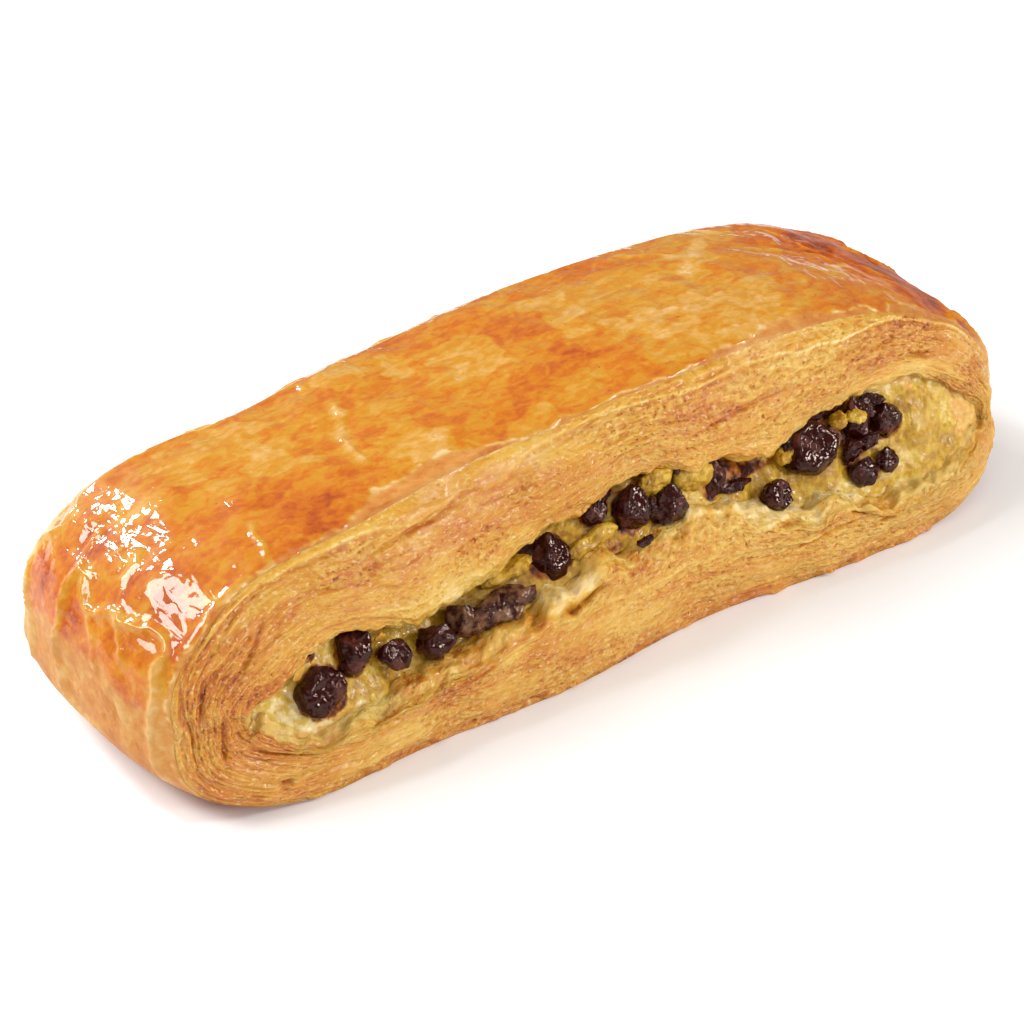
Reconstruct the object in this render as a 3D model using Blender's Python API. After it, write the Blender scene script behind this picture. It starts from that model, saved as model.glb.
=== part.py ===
"""Pain suisse: a strip of laminated dough folded over custard and chocolate chips, baked and glazed.

The pastry lies along X on its flat base at z = 0, with its two cut faces at -Y and +Y.
An angle called a turn runs round the loop of dough: 0 at the +X end, a quarter turn at the crest.
"""

from typing import NamedTuple

import bmesh
import bpy
import numpy as np

MM = 0.001

# The loop of dough, seen along Y.
LENGTH = 150.0 * MM
HEIGHT = 38.6 * MM
SEAT = 16.8 * MM          # height at which the loop is longest
SINK = 1.5 * MM           # how far the round underside would reach below the table, pressed flat
END_POWER = 3.8           # squareness of the loop's outline at its ends, over its top and at its base
TOP_POWER = 1.9
BASE_POWER = 5.2

# The loaf across Y: half widths at the rim where skin meets cut face, and what swells beyond it.
RIM_TOP = 16.0 * MM
RIM_END = 19.0 * MM
RIM_BASE = 27.0 * MM
BULGE_TOP = 4.8 * MM
BULGE_BASE = 1.3 * MM
PILLOW_TOP = 1.2 * MM
PILLOW_END = 3.2 * MM
PILLOW_BASE = 0.6 * MM

# The slit that holds the filling.
SLIT_CENTRE = 3.25 * MM
SLIT_REACH = 63.75 * MM
SLIT_HEIGHT = 16.0 * MM
SLIT_HALF = 1.8 * MM
SLIT_END_POWER = 6.0
LIP_TUCK = 2.5 * MM       # how far the dough rolls in towards the filling
LIP_START = 0.8           # share of the face, from rim to slit, where that roll begins
CROWN = 0.6               # share of the face at which its bulge is full

GAP = 0.35 * MM           # round each chip
SLIT_GAP = 0.45 * MM      # between the custard and the dough above and below it
CUSTARD_TUCK = 0.8 * MM   # the custard's face lies this far behind the lips
CHIP_DEPTH = 0.9          # a chip's depth as a share of its mean radius
CHIP_SET = 0.15           # share of that depth by which a chip's middle is sunk in the custard
CHIP_TIP = 0.16           # how far a chip's point stands out, and how far its foot is flattened
CHIP_FOOT = 0.12

DOUGH_TURNS = 76
SKIN_STATIONS = 7
FACE_STATIONS = 5
CUSTARD_STATIONS = 28
WALL_STATIONS = 4

FRONT = -1
BACK = 1


class Wave(NamedTuple):
    """A rounded rise or dip along X: its height, the X of its middle and its width, in millimetres."""

    height: float
    middle: float
    width: float


CREST = (Wave(-1.1, -16, 13), Wave(-1.3, 66, 12), Wave(-2.0, -40, 15), Wave(0.4, 15, 14))
BASE_EDGE = {
    FRONT: (Wave(-1.9, -36, 18), Wave(-2.8, 13, 20), Wave(1.5, 64, 10)),
    BACK: (Wave(-2.0, -5, 34),),
}
TOP_EDGE = {
    FRONT: (Wave(0.8, 10, 9), Wave(-0.8, -18, 9), Wave(0.8, -46, 9)),
    BACK: (Wave(-1.4, -40, 14), Wave(-1.2, 60, 12), Wave(0.5, 0, 12)),
}
SLIT_MIDDLE = {
    FRONT: (Wave(-1.2, -57, 10), Wave(-0.6, -36, 12), Wave(5.0, 4, 13), Wave(1.3, 42, 9), Wave(-3.0, 68, 9)),
    BACK: (Wave(-1.0, -57, 10), Wave(2.8, -14, 16), Wave(1.6, 34, 13), Wave(-2.0, 68, 9)),
}
SLIT_OPENING = {
    FRONT: (Wave(2.4, -50, 9), Wave(2.4, 5, 9), Wave(4.9, 50, 14)),
    BACK: (Wave(2.2, -46, 11), Wave(1.8, -12, 12), Wave(2.6, 36, 16)),
}


class Chip(NamedTuple):
    """A chocolate chip at a cut face: its middle, half width and half height, all in millimetres."""

    x: float
    z: float
    half_width: float
    half_height: float
    lean: float


FRONT_CHIPS = (
    Chip(-50.5, 13.8, 3.4, 3.2, -15),
    Chip(-51.2, 18.4, 1.1, 1.2, 0),
    Chip(-44.6, 16.6, 2.3, 3.2, 20),
    Chip(-39.0, 15.0, 2.6, 1.7, 35),
    Chip(-32.8, 14.7, 2.4, 2.4, 30),
    Chip(-27.2, 15.2, 2.4, 2.5, 0),
    Chip(-20.6, 15.4, 3.4, 1.8, -25),
    Chip(-11.6, 17.9, 2.9, 2.9, 0),
    Chip(-3.0, 22.0, 1.8, 2.0, 0),
    Chip(1.9, 21.0, 2.6, 2.9, 0),
    Chip(8.1, 19.7, 2.7, 2.7, 25),
    Chip(17.6, 19.4, 2.1, 2.8, 15),
    Chip(27.0, 14.9, 2.5, 2.0, 20),
    Chip(35.6, 18.4, 4.0, 3.5, -20),
    Chip(43.8, 19.8, 2.3, 2.9, 10),
    Chip(49.2, 18.0, 2.4, 2.2, 0),
    Chip(42.6, 13.7, 2.0, 2.1, 0),
    Chip(47.0, 13.6, 1.6, 1.7, 0),
)

BACK_CHIP_COUNT = 12
BACK_CHIP_FIRST = -50.0
BACK_CHIP_SPACING = 9.2
BACK_CHIP_SIZES = (3.2, 2.4, 2.9, 2.1)


def clear_scene():
    """Remove every object, so that the script starts from nothing."""
    for item in list(bpy.data.objects):
        bpy.data.objects.remove(item, do_unlink=True)


def waves(x, rows):
    """Sum of the rises and dips in rows, at each x."""
    total = np.zeros_like(x)
    for row in rows:
        total += row.height * MM * np.exp(-(((x / MM) - row.middle) / row.width) ** 2)
    return total


def signed_power(value, power):
    """A power of the value's size that keeps its sign."""
    return np.sign(value) * np.abs(value) ** power


def outline(turn):
    """The loop's outer line at mid width: a superellipse with a soft top and a squarer base."""
    across = np.cos(turn)
    up = np.sin(turn)
    x = LENGTH / 2 * signed_power(across, 2 / END_POWER)
    crest = HEIGHT + waves(x, CREST)
    over = SEAT + (crest - SEAT) * np.abs(up) ** (2 / TOP_POWER)
    under = SEAT - (SEAT + SINK) * np.abs(up) ** (2 / BASE_POWER)
    return x, np.where(up >= 0, over, under)


def slit_outline(turn, side):
    """The slit's line at one cut face."""
    reach = signed_power(np.cos(turn), 2 / END_POWER)
    x = SLIT_CENTRE + SLIT_REACH * reach
    middle = SLIT_HEIGHT + waves(x, SLIT_MIDDLE[side])
    half = SLIT_HALF + waves(x, SLIT_OPENING[side])
    taper = np.sqrt(np.clip(1 - np.abs(reach) ** SLIT_END_POWER, 0, 1))
    return x, middle + half * np.sign(np.sin(turn)) * taper


def around(turn, top, base, end):
    """A size that changes round the loop from its top to its base and its ends."""
    up = np.sin(turn)
    top_share = np.clip(up, 0, 1)
    base_share = np.clip(-up, 0, 1)
    end_share = np.cos(turn) ** 4
    total = top_share + base_share + end_share
    return (top_share * top + base_share * base + end_share * end) / total


def rim_half_width(turn, side):
    """Distance from the middle to the rim of one cut face."""
    x, _ = outline(turn)
    top = RIM_TOP + waves(x, TOP_EDGE[side])
    base = RIM_BASE + waves(x, BASE_EDGE[side])
    return around(turn, top, base, RIM_END)


def bulge(turn):
    """How far a cut face swells beyond its rim."""
    return around(turn, BULGE_TOP, BULGE_BASE, (BULGE_TOP + BULGE_BASE) / 2)


def even_turns(count):
    """Turns spaced evenly along the outline, measured with its base pressed flat."""
    fine = np.linspace(0, 2 * np.pi, 20001)
    x, z = outline(fine)
    steps = np.hypot(np.diff(x), np.diff(np.maximum(z, 0)))
    travelled = np.concatenate([[0], np.cumsum(steps)])
    return np.interp(np.arange(count) / count * travelled[-1], travelled, fine)


def on_table(x, y, z):
    """Points of one ring, none of them below the table."""
    return np.stack([x, y, np.maximum(z, 0)], axis=-1)


def skin_ring(turn, station):
    """One ring of the glazed skin, from -1 at the front rim to 1 at the back rim."""
    side = FRONT if station < 0 else BACK
    x, z = outline(turn)
    inner_x, inner_z = slit_outline(turn, side)
    length = np.hypot(x - inner_x, z - inner_z)
    shrink = around(turn, PILLOW_TOP, PILLOW_BASE, PILLOW_END) * abs(station) ** 3 / length
    y = rim_half_width(turn, side) * station * side
    return on_table(x + (inner_x - x) * shrink, side * y, z + (inner_z - z) * shrink)


def face_ring(turn, side, share):
    """One ring of a cut face, from 0 at the rim to 1 at the slit."""
    rim = skin_ring(turn, side)
    inner_x, inner_z = slit_outline(turn, side)
    swell = np.sin(np.pi / 2 * min(share / CROWN, 1))
    tuck = LIP_TUCK * max((share - LIP_START) / (1 - LIP_START), 0) ** 2
    x = rim[:, 0] + (inner_x - rim[:, 0]) * share
    z = rim[:, 2] + (inner_z - rim[:, 2]) * share
    y = side * (rim_half_width(turn, side) + bulge(turn) * swell - tuck)
    return on_table(x, y, z)


def loft(name, rings, wrap):
    """A mesh whose quads join each ring to the next, closed in a loop or by a cap at each end."""
    rows = len(rings)
    count = len(rings[0])
    vertices = np.concatenate(rings)
    row = np.arange(rows if wrap else rows - 1)[:, None]
    column = np.arange(count)[None, :]
    next_row = (row + 1) % rows
    next_column = (column + 1) % count
    corners = [
        row * count + column,
        row * count + next_column,
        next_row * count + next_column,
        next_row * count + column,
    ]
    faces = np.stack(corners, axis=-1).reshape(-1, 4).tolist()
    if not wrap:
        faces.append(list(range(count)))
        faces.append(list(range((rows - 1) * count, rows * count)))
    mesh = bpy.data.meshes.new(name)
    mesh.from_pydata(vertices.tolist(), [], faces)
    return finished(mesh)


def finished(mesh):
    """The mesh with its faces pointing out and smooth shading up to a sharp edge."""
    shape = bmesh.new()
    shape.from_mesh(mesh)
    bmesh.ops.recalc_face_normals(shape, faces=shape.faces)
    shape.to_mesh(mesh)
    shape.free()
    mesh.shade_smooth()
    mesh.set_sharp_from_angle(angle=np.radians(40))
    return mesh


def dough_mesh():
    """The loop of dough: skin, back face, the slit's wall and front face, in one closed ring of rings."""
    turn = even_turns(DOUGH_TURNS)
    shares = np.linspace(0, 1, FACE_STATIONS)
    rings = [skin_ring(turn, station) for station in np.linspace(-1, 1, SKIN_STATIONS)]
    rings += [face_ring(turn, BACK, share) for share in shares[1:]]
    back_lip = rings[-1]
    front_lip = face_ring(turn, FRONT, 1)
    for share in np.linspace(0, 1, WALL_STATIONS + 1)[1:-1]:
        rings.append(back_lip + (front_lip - back_lip) * share)
    rings += [face_ring(turn, FRONT, share) for share in shares[:0:-1]]
    return loft("dough", rings, wrap=True)


def lip(reach, roof, side):
    """Points of the slit's upper lip (roof 1) or lower lip (roof -1), at reaches from -1 to 1."""
    turn = roof * np.arccos(signed_power(reach, END_POWER / 2))
    x, z = slit_outline(turn, side)
    y = side * (rim_half_width(turn, side) + bulge(turn) - LIP_TUCK)
    return np.stack([x, y, z], axis=-1)


def custard_mesh():
    """The layer of custard: sections across Y, carried along X from one end of the slit to the other."""
    reach = np.linspace(-1, 1, CUSTARD_STATIONS + 2)[1:-1]
    corners = {}
    for side in (FRONT, BACK):
        roof = lip(reach, 1, side)
        floor = lip(reach, -1, side)
        inward = np.array([0, -side * CUSTARD_TUCK, 0])
        gap = np.array([0, 0, SLIT_GAP])
        corners[side] = (floor + inward + gap, roof + inward - gap)
    front_floor, front_roof = corners[FRONT]
    back_floor, back_roof = corners[BACK]
    path = [(front_floor, front_roof, 2), (front_roof, back_roof, WALL_STATIONS),
            (back_roof, back_floor, 2), (back_floor, front_floor, WALL_STATIONS)]
    columns = []
    for start, end, pieces in path:
        columns += [start + (end - start) * step / pieces for step in range(pieces)]
    rings = list(np.stack(columns, axis=1))
    return loft("custard", rings, wrap=False)


def face_depth(x, z, side):
    """The Y of the custard's face at a place on it."""
    reach = np.clip((np.array([x]) - SLIT_CENTRE) / SLIT_REACH, -1, 1)
    roof = lip(reach, 1, side)[0]
    floor = lip(reach, -1, side)[0]
    share = (z - floor[2]) / (roof[2] - floor[2])
    return floor[1] + (roof[1] - floor[1]) * share - side * CUSTARD_TUCK


def back_chips():
    """Chips of the hidden cut face, spaced evenly along its slit."""
    chips = []
    for index in range(BACK_CHIP_COUNT):
        size = BACK_CHIP_SIZES[index % len(BACK_CHIP_SIZES)]
        x = BACK_CHIP_FIRST + BACK_CHIP_SPACING * index + 0.8 * np.sin(2.4 * index)
        middle = (SLIT_HEIGHT + waves(np.array([x * MM]), SLIT_MIDDLE[BACK])[0]) / MM
        lift = 0.9 * np.sin(1.7 * index)
        chips.append(Chip(x, middle + lift, size, 0.9 * size, 25 * np.sin(index)))
    return chips


def chip_mesh(name, chip, side, index, grow):
    """A chip: a ball stretched to its size, with a blunt point and a flattened foot, grown all over."""
    radii = np.array([
        chip.half_width * MM,
        CHIP_DEPTH * (chip.half_width + chip.half_height) / 2 * MM,
        chip.half_height * MM,
    ])
    shape = bmesh.new()
    bmesh.ops.create_icosphere(shape, subdivisions=2, radius=1)
    mesh = bpy.data.meshes.new(name)
    shape.to_mesh(mesh)
    shape.free()
    points = np.array([vertex.co for vertex in mesh.vertices])
    spin = 2.4 * index
    tip = np.array([0.6 * np.cos(spin), 0.5 * side, 0.6 * np.sin(spin)])
    facing = points @ (tip / np.linalg.norm(tip))
    stretch = 1 + CHIP_TIP * np.clip(facing, 0, 1) ** 4 - CHIP_FOOT * np.clip(-facing, 0, 1) ** 2
    points = points * stretch[:, None] * (radii + grow)
    lean = np.radians(chip.lean)
    turned_x = points[:, 0] * np.cos(lean) + points[:, 2] * np.sin(lean)
    turned_z = points[:, 2] * np.cos(lean) - points[:, 0] * np.sin(lean)
    x = chip.x * MM
    z = chip.z * MM
    y = face_depth(x, z, side) - side * CHIP_SET * radii[1]
    placed = np.stack([turned_x + x, points[:, 1] + y, turned_z + z], axis=-1)
    mesh.vertices.foreach_set("co", placed.ravel())
    return finished(mesh)


def finish(name, colour, roughness, coat):
    """A Principled material."""
    material = bpy.data.materials.new(name)
    material.use_nodes = True
    shader = material.node_tree.nodes["Principled BSDF"]
    shader.inputs["Base Color"].default_value = (*colour, 1)
    shader.inputs["Roughness"].default_value = roughness
    shader.inputs["Metallic"].default_value = 0
    shader.inputs["Coat Weight"].default_value = coat
    return material


def add(mesh, material, collection):
    """An object of the mesh, in the collection."""
    item = bpy.data.objects.new(mesh.name, mesh)
    mesh.materials.append(material)
    collection.objects.link(item)
    return item


def new_collection(name):
    """A collection in the scene."""
    collection = bpy.data.collections.new(name)
    bpy.context.scene.collection.children.link(collection)
    return collection


def add_pocket(body, cutter):
    """A hollow in the body where the cutter is."""
    pocket = body.modifiers.new(cutter.name, "BOOLEAN")
    pocket.operation = "DIFFERENCE"
    pocket.solver = "EXACT"
    pocket.object = cutter


def hide_cutter(cutter):
    """Show a cutter as wire and leave it out of renders."""
    cutter.hide_render = True
    cutter.display_type = "WIRE"


def centre(items):
    """Move every mesh so that the pastry's box is centred over the origin."""
    dough = items[0].data
    points = np.array([vertex.co for vertex in dough.vertices])
    middle = (points.min(axis=0) + points.max(axis=0)) / 2
    for item in items:
        points = np.array([vertex.co for vertex in item.data.vertices])
        points[:, :2] -= middle[:2]
        item.data.vertices.foreach_set("co", points.ravel())
        item.data.update()


def main():
    """Build the pastry."""
    clear_scene()
    pastry = new_collection("pain_suisse")
    cutters = new_collection("cutters")
    crust = finish("baked_dough", (0.63, 0.33, 0.10), 0.45, 0.3)
    cream = finish("custard_cream", (0.62, 0.50, 0.13), 0.35, 0.2)
    chocolate = finish("chocolate", (0.045, 0.014, 0.010), 0.25, 0.4)
    dough = add(dough_mesh(), crust, pastry)
    custard = add(custard_mesh(), cream, pastry)
    items = [dough, custard]
    rows = [(chip, FRONT) for chip in FRONT_CHIPS] + [(chip, BACK) for chip in back_chips()]
    for index, (chip, side) in enumerate(rows, start=1):
        name = f"chip_{index:02d}"
        items.append(add(chip_mesh(name, chip, side, index, 0), chocolate, pastry))
        cutter = add(chip_mesh(f"{name}_pocket", chip, side, index, GAP), chocolate, cutters)
        hide_cutter(cutter)
        add_pocket(dough, cutter)
        add_pocket(custard, cutter)
        items.append(cutter)
    centre(items)


main()
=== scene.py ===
"""The looks of a pain suisse: glazed crust, laminated cut faces, custard and chocolate chips.

Shapes are worked out in millimetres and put into meshes in metres. The pastry lies along X; its cut
faces look along -Y (front) and +Y (back). A turn is an angle round the loop of dough, 0 at the +X end
and a quarter turn at the crest. A loop share runs from 0 to 1 along the outline, evenly by length.
"""

import logging
from dataclasses import dataclass
from enum import Enum
from typing import Sequence, TypeVar

import bmesh
import bpy
import numpy as np
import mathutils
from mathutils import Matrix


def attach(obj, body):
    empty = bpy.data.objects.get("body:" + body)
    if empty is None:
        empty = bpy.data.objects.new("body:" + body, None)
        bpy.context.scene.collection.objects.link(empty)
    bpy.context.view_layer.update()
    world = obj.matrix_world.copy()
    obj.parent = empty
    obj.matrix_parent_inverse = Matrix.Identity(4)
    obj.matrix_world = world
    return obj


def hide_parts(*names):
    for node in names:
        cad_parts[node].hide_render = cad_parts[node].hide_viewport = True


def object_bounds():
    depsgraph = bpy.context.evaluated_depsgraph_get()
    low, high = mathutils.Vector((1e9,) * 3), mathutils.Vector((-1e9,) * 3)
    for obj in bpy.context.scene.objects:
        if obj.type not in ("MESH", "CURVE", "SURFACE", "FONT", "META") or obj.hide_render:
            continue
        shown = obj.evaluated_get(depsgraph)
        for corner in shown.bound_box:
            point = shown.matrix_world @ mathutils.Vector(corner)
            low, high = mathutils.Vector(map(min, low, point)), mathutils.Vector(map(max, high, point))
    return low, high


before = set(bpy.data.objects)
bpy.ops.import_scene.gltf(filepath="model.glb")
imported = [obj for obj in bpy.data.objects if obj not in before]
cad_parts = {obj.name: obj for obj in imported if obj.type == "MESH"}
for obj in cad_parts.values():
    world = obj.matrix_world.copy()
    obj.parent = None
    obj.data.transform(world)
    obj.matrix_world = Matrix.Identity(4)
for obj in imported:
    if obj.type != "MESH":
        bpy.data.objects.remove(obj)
CAD_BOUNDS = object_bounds()

LOG = logging.getLogger("pain_suisse")
ROOT = "root"
MM = 0.001  # one millimetre, in metres
NOISE_SPAN = 48  # lattice steps before noise in space repeats
LOOP_SPAN = 192  # lattice steps before noise across the loop repeats
OUTLINE_STEPS = 20001  # points at which the outline is measured
LOOP_LENGTH = 345.0  # the outline's length in millimetres
TINY = 1e-9  # keeps a division from zero

Array = np.ndarray
Vector = tuple[float, float, float]
Colour = tuple[float, float, float]
Faces = list[list[int]]
Socket = bpy.types.NodeSocket
Row = TypeVar("Row")


class Side(Enum):
    """A cut face, by the sign of the Y it looks along."""

    FRONT = -1
    BACK = 1

    @property
    def row(self) -> int:
        """The face's place in a pair of tables."""
        return 0 if self is Side.FRONT else 1

    @property
    def out(self) -> Array:
        """The way the face looks."""
        return np.array([0, self.value, 0])


class Slot(Enum):
    """Names of the material slots."""

    DOUGH = "baked_dough"
    CUSTARD = "custard_cream"
    CHOCOLATE = "chocolate"


# --- Noise and small functions of arrays ---------------------------------------------------------


def srgb(red: float, green: float, blue: float) -> Colour:
    """A colour given as 0 to 255 display values, as linear light.

    Args:
        red, green, blue: the display values.

    Returns:
        The three linear values.
    """
    values = np.array([red, green, blue]) / 255
    linear = np.where(values <= 0.04045, values / 12.92, ((values + 0.055) / 1.055) ** 2.4)
    return tuple(float(value) for value in linear)


def ease(value: Array) -> Array:
    """The smooth step 6v^5 - 15v^4 + 10v^3 of a value from 0 to 1."""
    return value * value * value * (value * (value * 6 - 15) + 10)


def step(value: Array, low: float, high: float) -> Array:
    """A smooth rise from 0 at low to 1 at high."""
    return ease(np.clip((value - low) / (high - low), 0, 1))


def bell(value: Array, middle: float, width: float) -> Array:
    """A rounded bump: e to the power of minus the square of (value - middle) / width."""
    return np.exp(-(((value - middle) / width) ** 2))


def loop_noise(loop: Array, depth: Array, cells: int, seed: int) -> Array:
    """Noise round the loop: random values on a lattice, blended smoothly and closed on itself.

    Args:
        loop: loop share of each point, 0 to 1.
        depth: place across the loop, in lattice steps.
        cells: lattice steps in one whole loop.
        seed: which lattice.

    Returns:
        Values from 0 to 1.
    """
    lattice = np.random.default_rng(seed).random((cells, LOOP_SPAN))
    along = loop * cells
    row = np.floor(along).astype(int)
    column = np.floor(depth).astype(int)
    row_part = ease(along - row)
    column_part = ease(depth - column)
    rows = (row % cells, (row + 1) % cells)
    columns = (column % LOOP_SPAN, (column + 1) % LOOP_SPAN)
    near = lattice[rows[0], columns[0]] * (1 - row_part) + lattice[rows[1], columns[0]] * row_part
    far = lattice[rows[0], columns[1]] * (1 - row_part) + lattice[rows[1], columns[1]] * row_part
    return near * (1 - column_part) + far * column_part


def ring_noise(loop: Array, cells: int, seed: int) -> Array:
    """Noise round the loop that is the same all the way across it."""
    return loop_noise(loop, np.zeros_like(loop), cells, seed)


def space_noise(points: Array, size: float, seed: int) -> Array:
    """Noise in space: random values on a cubic lattice, blended smoothly.

    Args:
        points: places in millimetres, last axis of 3.
        size: lattice step in millimetres.
        seed: which lattice.

    Returns:
        Values from 0 to 1.
    """
    lattice = np.random.default_rng(seed).random((NOISE_SPAN,) * 3)
    scaled = points / size
    base = np.floor(scaled).astype(int)
    part = ease(scaled - base)
    total = np.zeros(points.shape[:-1])
    for corner in range(8):
        offset = np.array([corner & 1, corner >> 1 & 1, corner >> 2 & 1])
        index = (base + offset) % NOISE_SPAN
        weight = np.prod(np.where(offset, part, 1 - part), axis=-1)
        total += weight * lattice[index[..., 0], index[..., 1], index[..., 2]]
    return total


def cloud(points: Array, size: float, seed: int, octaves: int = 3, squeeze: Vector = (1, 1, 1)) -> Array:
    """Layers of space noise, each half as large and half as strong as the one before.

    Args:
        points: places in millimetres, last axis of 3.
        size: size of the largest lumps in millimetres.
        seed: which cloud.
        octaves: number of layers.
        squeeze: what each axis is multiplied by first; under 1 draws the lumps out along it.

    Returns:
        Values about zero, mostly from -1 to 1.
    """
    total = np.zeros(points.shape[:-1])
    for octave in range(octaves):
        part = space_noise(points * squeeze, size / 2**octave, seed + octave)
        total += (part - 0.5) * 2 / 2**octave
    return total


def signed_power(value: Array, power: float) -> Array:
    """A power of the value's size that keeps its sign."""
    return np.sign(value) * np.abs(value) ** power


def near_line(points: Array, line: Sequence[Sequence[float]]) -> Array:
    """Distance from each point to a line of straight pieces.

    Args:
        points: places in millimetres.
        line: the line's corners.

    Returns:
        The shortest distance in millimetres.
    """
    corners = np.array(line, dtype=float)
    nearest = np.full(points.shape[:-1], np.inf)
    for start, end in zip(corners[:-1], corners[1:]):
        run = end - start
        share = np.clip((points - start) @ run / (run @ run), 0, 1)
        gap = np.linalg.norm(points - start - share[..., None] * run, axis=-1)
        nearest = np.minimum(nearest, gap)
    return nearest


# --- The pastry's smooth shape ------------------------------------------------------------------


@dataclass(frozen=True)
class Wave:
    """A rounded rise or dip along X: its height, its middle and its width in millimetres."""

    height: float
    middle: float
    width: float


@dataclass(frozen=True)
class Spot:
    """A soft patch on a surface: its middle, its two radii in millimetres, and its strength."""

    first: float
    second: float
    first_radius: float
    second_radius: float
    strength: float


def several(kind: type[Row], *values: tuple[float, ...]) -> tuple[Row, ...]:
    """One object of a kind for each row of its fields' values."""
    return tuple(kind(*value) for value in values)


def waves(x: Array, rows: Sequence[Wave]) -> Array:
    """The sum of rises and dips: each height times a bell about its middle.

    Args:
        x: places along X.
        rows: the rises and dips.

    Returns:
        The sum at each place.
    """
    total = np.zeros_like(x)
    for row in rows:
        total += row.height * bell(x, row.middle, row.width)
    return total


def spots(first: Array, second: Array, rows: Sequence[Spot]) -> Array:
    """The sum of soft patches: each strength times a bell in both of a surface's coordinates.

    Args:
        first, second: the two coordinates of each place.
        rows: the patches.

    Returns:
        The sum at each place.
    """
    total = np.zeros(np.broadcast(first, second).shape)
    for row in rows:
        across = (first - row.first) / row.first_radius
        up = (second - row.second) / row.second_radius
        total += row.strength * np.exp(-(across**2) - up**2)
    return total


@dataclass(frozen=True)
class Loaf:
    """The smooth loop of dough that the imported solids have, in millimetres.

    The outline is a superellipse with a soft top and a squarer base pressed flat at z = 0. The skin
    runs across Y from one rim to the other, and each cut face from its rim to the slit.
    """

    length: float = 150.0
    height: float = 38.6
    seat: float = 16.8
    sink: float = 1.5
    end_power: float = 3.8
    top_power: float = 1.9
    base_power: float = 5.2
    rim_top: float = 16.0
    rim_end: float = 19.0
    rim_base: float = 27.0
    bulge_top: float = 4.8
    bulge_base: float = 1.3
    pillow_top: float = 1.2
    pillow_end: float = 3.2
    pillow_base: float = 0.6
    slit_centre: float = 3.25
    slit_reach: float = 63.75
    slit_height: float = 16.0
    slit_half: float = 1.8
    slit_end_power: float = 6.0
    lip_tuck: float = 2.5
    lip_start: float = 0.8
    crown: float = 0.6
    shift: float = 0.15
    crest: tuple[Wave, ...] = several(Wave, (-1.1, -16, 13), (-1.3, 66, 12), (-2.0, -40, 15), (0.4, 15, 14))
    base_edges: tuple[tuple[Wave, ...], ...] = (
        several(Wave, (-1.9, -36, 18), (-2.8, 13, 20), (1.5, 64, 10)),
        several(Wave, (-2.0, -5, 34)),
    )
    top_edges: tuple[tuple[Wave, ...], ...] = (
        several(Wave, (0.8, 10, 9), (-0.8, -18, 9), (0.8, -46, 9)),
        several(Wave, (-1.4, -40, 14), (-1.2, 60, 12), (0.5, 0, 12)),
    )
    slit_middles: tuple[tuple[Wave, ...], ...] = (
        several(Wave, (-1.2, -57, 10), (-0.6, -36, 12), (5.0, 4, 13), (1.3, 42, 9), (-3.0, 68, 9)),
        several(Wave, (-1.0, -57, 10), (2.8, -14, 16), (1.6, 34, 13), (-2.0, 68, 9)),
    )
    slit_openings: tuple[tuple[Wave, ...], ...] = (
        several(Wave, (2.4, -50, 9), (2.4, 5, 9), (4.9, 50, 14)),
        several(Wave, (2.2, -46, 11), (1.8, -12, 12), (2.6, 36, 16)),
    )

    def outline(self, turn: Array) -> tuple[Array, Array]:
        """The loop's outer line: a superellipse with one power above the seat and another below it.

        Args:
            turn: turns.

        Returns:
            X and Z at each turn.
        """
        up = np.sin(turn)
        x = self.length / 2 * signed_power(np.cos(turn), 2 / self.end_power)
        crest = self.height + waves(x, self.crest)
        over = self.seat + (crest - self.seat) * np.abs(up) ** (2 / self.top_power)
        under = self.seat - (self.seat + self.sink) * np.abs(up) ** (2 / self.base_power)
        return x, np.where(up >= 0, over, under)

    def slit(self, turn: Array, side: Side) -> tuple[Array, Array]:
        """The slit's line at one cut face: a wavy middle, and a half opening that tapers at both ends.

        Args:
            turn: turns.
            side: which cut face.

        Returns:
            X and Z at each turn.
        """
        reach = signed_power(np.cos(turn), 2 / self.end_power)
        x = self.slit_centre + self.slit_reach * reach
        middle = self.slit_height + waves(x, self.slit_middles[side.row])
        half = self.slit_half + waves(x, self.slit_openings[side.row])
        taper = np.sqrt(np.clip(1 - np.abs(reach) ** self.slit_end_power, 0, 1))
        return x, middle + half * np.sign(np.sin(turn)) * taper

    def around(self, turn: Array, top: Array, base: Array, end: float) -> Array:
        """A size that changes round the loop: the weighted mean of its values at top, base and ends.

        Args:
            turn: turns.
            top, base, end: the size at each of the three.

        Returns:
            The size at each turn.
        """
        up = np.sin(turn)
        top_share = np.clip(up, 0, 1)
        base_share = np.clip(-up, 0, 1)
        end_share = np.cos(turn) ** 4
        total = top_share + base_share + end_share
        return (top_share * top + base_share * base + end_share * end) / total

    def rim(self, turn: Array, side: Side) -> Array:
        """Distance of one cut face's rim from the middle.

        Args:
            turn: turns.
            side: which cut face.

        Returns:
            The distance along Y at each turn.
        """
        x, _ = self.outline(turn)
        top = self.rim_top + waves(x, self.top_edges[side.row])
        base = self.rim_base + waves(x, self.base_edges[side.row])
        return self.around(turn, top, base, self.rim_end)

    def bulge(self, turn: Array) -> Array:
        """How far a cut face swells beyond its rim."""
        return self.around(turn, self.bulge_top, self.bulge_base, (self.bulge_top + self.bulge_base) / 2)

    def turns(self, shares: Array) -> Array:
        """The turn at each loop share, found by measuring along the outline.

        Args:
            shares: loop shares.

        Returns:
            The turns.
        """
        fine = np.linspace(0, 2 * np.pi, OUTLINE_STEPS)
        x, z = self.outline(fine)
        steps = np.hypot(np.diff(x), np.diff(np.maximum(z, 0)))
        travelled = np.concatenate([[0], np.cumsum(steps)])
        return np.interp(np.mod(shares, 1) * travelled[-1], travelled, fine)

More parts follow.
